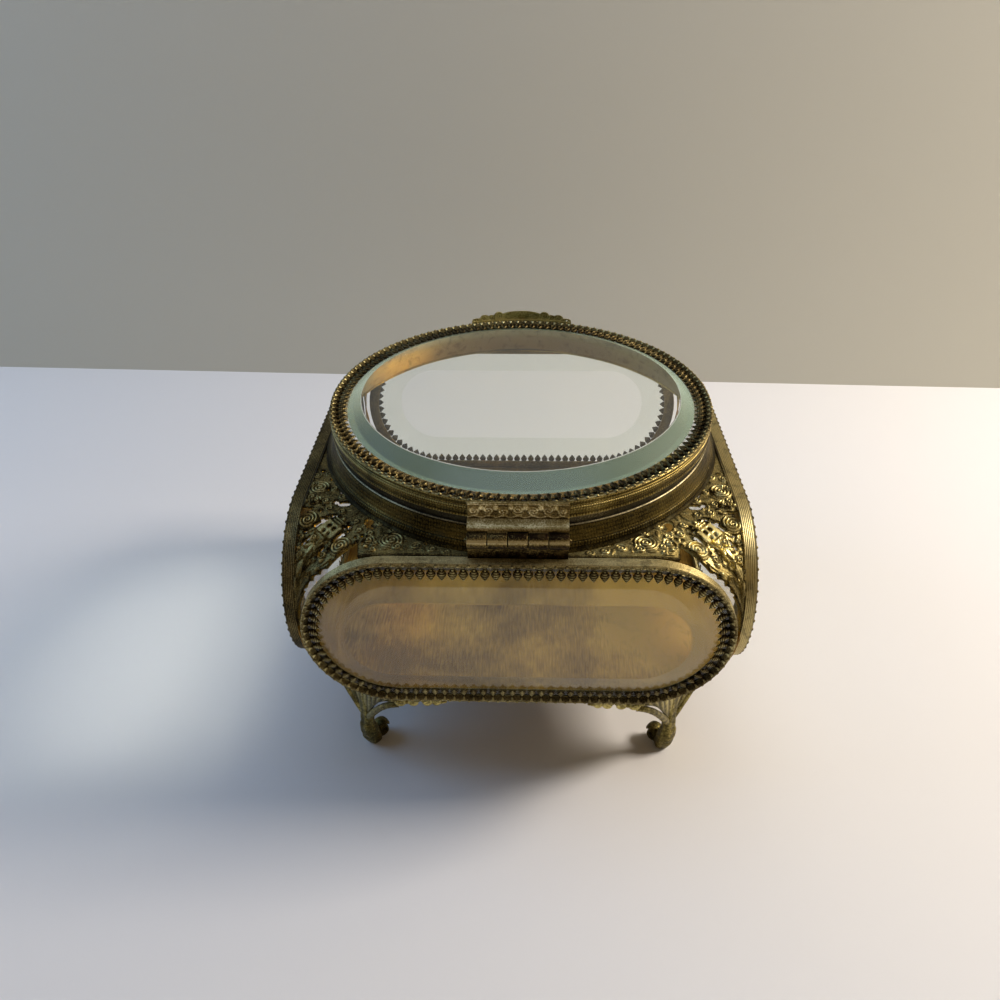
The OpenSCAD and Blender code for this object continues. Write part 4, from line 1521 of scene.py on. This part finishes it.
@dataclass
class Feet(SubAssembly):
    """Four cast corner feet: a leafed leg with a scrolled toe and two arms."""

    leg_q: float = 47.4
    leg_h: float = 37.1
    leg_top: float = 37.6
    arm_y: float = 59.9
    arm_start: float = 20.0
    arm_l: float = 14.0
    strut_z: float = 11.2
    strut_drop: float = 4.0
    arm_t: float = 0.45
    toe_r: float = 2.5
    toe_z: float = 3.3
    toe_out: float = -4.3
    fork_z: float = 28.2
    stem_start: float = 34.5
    stem_l: float = 14.4
    stem_drop: float = 1.7
    stem_swing: float = 0.6
    # height, half width across the corner, half thickness, place along the diagonal
    sections: tuple = ((0.0, 1.7, 1.4, -1.3), (0.35, 2.5, 2.2, -1.3), (1.4, 3.0, 2.6, -1.1),
                       (3.2, 3.2, 2.8, -0.7), (5.4, 3.3, 2.7, -0.3), (7.6, 3.2, 2.5, 0.0),
                       (9.2, 2.8, 2.2, 0.1), (10.2, 2.5, 1.9, 0.1), (12.5, 2.5, 1.8, 0.0),
                       (16.0, 2.2, 1.6, 0.0), (20.0, 2.2, 1.5, 0.0), (24.0, 2.6, 1.5, 0.0),
                       (27.5, 3.2, 1.6, 0.0), (29.5, 3.7, 1.7, 0.0))
    # place along the bezel, size and sense of each scroll of an arm
    scrolls: tuple = ((33.6, 1.9, 1), (29.4, 1.6, -1), (25.8, 1.35, 1), (22.8, 1.1, -1))

    def on_diagonal(self, side: Array, out: Array | float, z: Array) -> Array:
        """Turns places measured from a corner's diagonal into x, y and z.

        Args:
            side: Distance across the diagonal in mm.
            out: Distance along it from the leg's middle in mm.
            z: Height in mm.

        Returns:
            The places.
        """
        root = math.sqrt(0.5)
        return np.stack(np.broadcast_arrays(self.leg_q + (out + side) * root,
                                            self.leg_q + (out - side) * root, z), -1)

    def leg(self) -> Form:
        """The leg, fluted down its front and forked at its top.

        Returns:
            The leg.
        """
        height, wide, thick, lean = np.array(self.sections).T
        z = np.linspace(0, height[-1], 90)
        wide, thick, lean = (np.interp(z, height, a)[:, None] for a in (wide, thick, lean))
        z, angle = z[:, None], circle(40)
        flute = 1 + 0.05 * np.cos(angle * 6) * np.clip((z - 4) / 5, 0, 1)
        leaf = 1 + 0.03 * np.cos(z * 2.1) * np.abs(np.sin(angle))
        pad = 1 + 0.05 * np.cos(angle * 5) * np.clip((7 - z) / 5, 0, 1)
        side = wide * np.cos(angle) * flute * pad
        out = lean + thick * np.sin(angle) * flute * leaf * pad
        made = Form().add_grid(self.on_diagonal(side, out, z),
                               np.clip(0.45 + 2 * (flute * leaf * pad - 1), 0, 1))
        t = np.linspace(0, 1, 12)
        rise = self.fork_z + (self.leg_top - self.fork_z) * t
        for fork in (-1, 1):
            path = self.on_diagonal(fork * (2.2 + 1.9 * t), 0, rise)
            made.add_grid(tube(path, 1.25 - 0.1 * t, 1.3 - 0.1 * t, 12, (1, 1, 0)), 0.45)
        return made

    def toe(self) -> Form:
        """The toe: a scroll rolled inwards, with a spiral on each cheek.

        Returns:
            The toe.
        """
        coil = np.linspace(0, 1, 70)
        turn = 2 * np.pi * 1.7 * coil + 0.6
        radius = self.toe_r * (1 - 0.74 * coil)
        path = self.on_diagonal(0, self.toe_out - radius * np.cos(turn),
                                self.toe_z + radius * np.sin(turn))
        wide = 2.1 - 0.3 * coil + 0.25 * np.sin(np.pi * coil)
        return Form().add_grid(tube(path, 0.7 - 0.25 * coil, wide, 14, (1, -1, 0)), 0.3)

    def strut(self, t: Array) -> Array:
        """Finds the middle line of an arm's strut.

        Args:
            t: Shares of the way from the leg to the bezel.

        Returns:
            The places.
        """
        swing = np.sin(t * np.pi / 2)
        return np.stack([self.leg_q + (self.arm_start + self.arm_l - self.leg_q) * t,
                         self.leg_q + (self.arm_y + 0.6 - self.leg_q) * swing,
                         self.strut_z + (self.leg_h - self.strut_drop - self.strut_z) * swing],
                        -1)

    def arm(self) -> Form:
        """One arm: a bowed strut, the leaf above it, and scrolls under the bezel.

        Returns:
            The arm.
        """
        t = np.linspace(0, 1, 60)
        ridge = np.cos(t * 50)
        wide = 1 + 0.02 * ridge
        made = Form().add_grid(tube(self.strut(t), wide, (1.15 - 0.25 * t) * wide, 14),
                               0.5 + 0.08 * ridge)
        made.merge(self.leaf())
        for scroll in self.scrolls:
            made.merge(self.scroll(*scroll))
        stem = np.linspace(0, 1, 40)
        wave = np.stack([self.stem_start - self.stem_l * stem, self.arm_y + 1.0 + 0 * stem,
                         self.leg_h - self.stem_drop - self.stem_swing * np.sin(stem * 9)], -1)
        return made.add_grid(tube(wave, 0.9 - 0.4 * stem, 0.9 - 0.5 * stem, 12), 0.6)

    def leaf(self) -> Form:
        """The veined leaf that fills the arm above the crescent-shaped opening.

        Returns:
            The leaf.
        """
        t, s = np.meshgrid(np.linspace(0.02, 0.99, 60), np.linspace(0, 1, 24))
        low = self.strut(t)
        base = low[..., 2] + 0.7 + 1.9 * np.sin(np.pi * np.clip(t * 1.04, 0, 1)) ** 0.8
        low[..., 2] = base + s * np.maximum(self.leg_h + 0.1 - base, 0.05)
        veins = 0.5 + 0.5 * np.cos(2 * np.pi * (t * 6 - s * 1.5))
        lift = 0.42 * veins * np.sqrt(np.clip(np.sin(np.pi * s), 0, 1))
        way = np.gradient(self.strut(t[0]), axis=0)[:, :2]
        out = np.stack([way[:, 1], -way[:, 0]], -1) / np.linalg.norm(way, axis=1)[:, None]
        face, back = low.copy(), low.copy()
        face[..., :2] += out * (self.arm_t + lift)[..., None]
        back[..., :2] -= out * self.arm_t
        return Form().add_sheet(face, back, np.clip(0.3 + 1.3 * lift, 0, 1))

    def scroll(self, start: float, size: float, sense: int) -> Form:
        """A leaf scroll below the stem.

        Args:
            start: Its place along the bezel in mm.
            size: Its radius in mm.
            sense: Which way it coils, 1 or -1.

        Returns:
            The scroll.
        """
        coil = np.linspace(0, 1, 34)
        turn = sense * (2 * np.pi * 1.3 * coil) + (0.4 if sense > 0 else math.pi - 0.4)
        radius = size * (1 - 0.8 * coil)
        path = np.stack([start + radius * np.cos(turn), np.full(34, self.arm_y + 1.4),
                         self.leg_h - 1.9 - 0.2 * size + radius * np.sin(turn) * 0.9], -1)
        path[:, 2] = np.minimum(path[:, 2], self.leg_h - 0.4)
        return Form().add_grid(tube(path, 0.75 - 0.2 * coil, 0.42 - 0.14 * coil, 8, (0, 1, 0)),
                               0.5 + 0.5 * coil)

    def build(self) -> None:
        """Makes the four feet."""
        mirror = np.array([[0, 1, 0], [1, 0, 0], [0, 0, 1]], float)
        foot = self.leg().merge(self.toe()).merge(self.arm()).merge(self.arm(), mirror)
        for k, name in enumerate(CORNERS):
            self.piece(Form().merge(foot, turned(90 * k)), f"{name}_scroll_foot", CAST,
                       Body.CASKET, f"{name}_foot", crease=50)


# ---- Studio ----------------------------------------------------------------


@dataclass
class Studio:
    """The table, the backdrop, the lamps and the camera."""

    focal: float = 809.0
    frame: float = 1000.0
    sensor: float = 36.0
    eye: tuple[float, float, float] = (-1.19, 216.2, 214.72)
    gaze: tuple[float, float, float] = (0.0286, -0.8176, -0.5750)
    level: tuple[float, float, float] = (-0.99939, -0.0349, 0.0)
    roll: float = -0.6
    wall_y: float = -214.0
    wall_skew: float = 54.0
    wall_half_w: float = 1500.0
    wall_h: float = 900.0
    table_half_w: float = 3000.0
    # height that the lamps aim at
    aim_z: float = 60.0
    # name, place in mm, width in mm, watts and colour
    lamps: tuple = (("window_light", (-640, -70, 520), 200, 6.3, "#fff3e6"),
                    ("sky_light", (560, -60, 420), 420, 1.45, "#98c8ff"),
                    ("ceiling_light", (0, -60, 800), 560, 1.15, "#b8d3ff"))
    fill: str = "#ffe6c6"
    fill_strength: float = 0.17
    pale_wall: str = "#c9c8c2"

    def camera(self) -> None:
        """Makes the camera, at the height of a person bending over the table."""
        data = bpy.data.cameras.new("camera")
        data.sensor_width = self.sensor
        data.lens = self.focal * self.sensor / self.frame
        data.clip_start, data.clip_end = 0.01, 20.0
        made = bpy.data.objects.new("camera", data)
        gaze, right = Vector(self.gaze).normalized(), Vector(self.level).normalized()
        up = right.cross(gaze).normalized()
        tilt = math.radians(self.roll)
        side = math.cos(tilt) * right + math.sin(tilt) * up
        top = math.cos(tilt) * up - math.sin(tilt) * right
        turn = Matrix((side, top, -gaze)).transposed()
        made.matrix_world = Matrix.Translation(Vector(self.eye) * MM) @ turn.to_4x4()
        bpy.context.scene.collection.objects.link(made)
        bpy.context.scene.camera = made

    def lamp(self, name: str, place: tuple[float, float, float], size: float, power: float,
             colour: str) -> None:
        """Adds a soft square lamp that faces the casket.

        Args:
            name: The lamp's name.
            place: Where it hangs, in mm.
            size: Width of the lamp in mm.
            power: Power in watts.
            colour: Hex colour of its light.
        """
        data = bpy.data.lights.new(name, "AREA")
        data.size, data.energy, data.color = size * MM, power, linear(colour)[:3]
        made = bpy.data.objects.new(name, data)
        made.location = Vector(place) * MM
        aim = Vector((0, 0, self.aim_z)) - Vector(place)
        made.rotation_euler = aim.to_track_quat("-Z", "Y").to_euler()
        bpy.context.scene.collection.objects.link(made)

    def sheet(self, name: str, corners: list, paint: Paint) -> None:
        """Adds a flat sheet of the stage.

        Args:
            name: The sheet's name.
            corners: Its four corners in mm.
            paint: Its finish.
        """
        mesh = bpy.data.meshes.new(name)
        mesh.from_pydata([tuple(Vector(c) * MM) for c in corners], [], [(0, 1, 2, 3)])
        made = bpy.data.objects.new(name, mesh)
        mesh.materials.append(paint.material())
        bpy.context.scene.collection.objects.link(made)

    def room(self) -> bpy.types.World:
        """The room: a dim warm fill, seen by the camera and in glass as a pale wall.

        Returns:
            The world.
        """
        tree = Tree(bpy.data.worlds.new("room"))
        fill = tree.add("Background", (linear(self.fill), self.fill_strength))
        pale = tree.add("Background", (linear(self.pale_wall),))
        seen = tree.add("Math", [tree.add("LightPath", out=ray) for ray in (
            "Is Camera Ray", "Is Transmission Ray")], use_clamp=True)
        return tree.finish(tree.add("MixShader", (seen, fill, pale)))

    def build(self) -> None:
        """Sets the stage."""
        half = self.table_half_w
        self.sheet("table", [(-half, -half, 0), (half, -half, 0), (half, half, 0),
                             (-half, half, 0)], TABLE)
        near, far = self.wall_y + self.wall_skew, self.wall_y - self.wall_skew
        half, high = self.wall_half_w, self.wall_h
        self.sheet("backdrop", [(half, far, 0), (-half, near, 0), (-half, near, high),
                                (half, far, high)], WALL)
        for lamp in self.lamps:
            self.lamp(*lamp)
        bpy.context.scene.world = self.room()
        bpy.context.scene.view_settings.view_transform = "Standard"
        self.camera()


def corners(box: tuple[Vector, Vector]) -> list[list[float]]:
    """A box's two corners as plain lists."""
    return [list(box[0]), list(box[1])]


def main() -> None:
    """Builds the casket round the frame, piece by piece."""
    logging.basicConfig(level=logging.INFO, format="%(name)s: %(message)s")
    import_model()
    Studio().build()
    for assembly in (Shell(), Windows(), Collar(), Lid(), FingerTab(), Hinge(), Feet()):
        assembly.build()
        log.info("%s done", type(assembly).__name__)


if __name__ == "__main__":
    main()
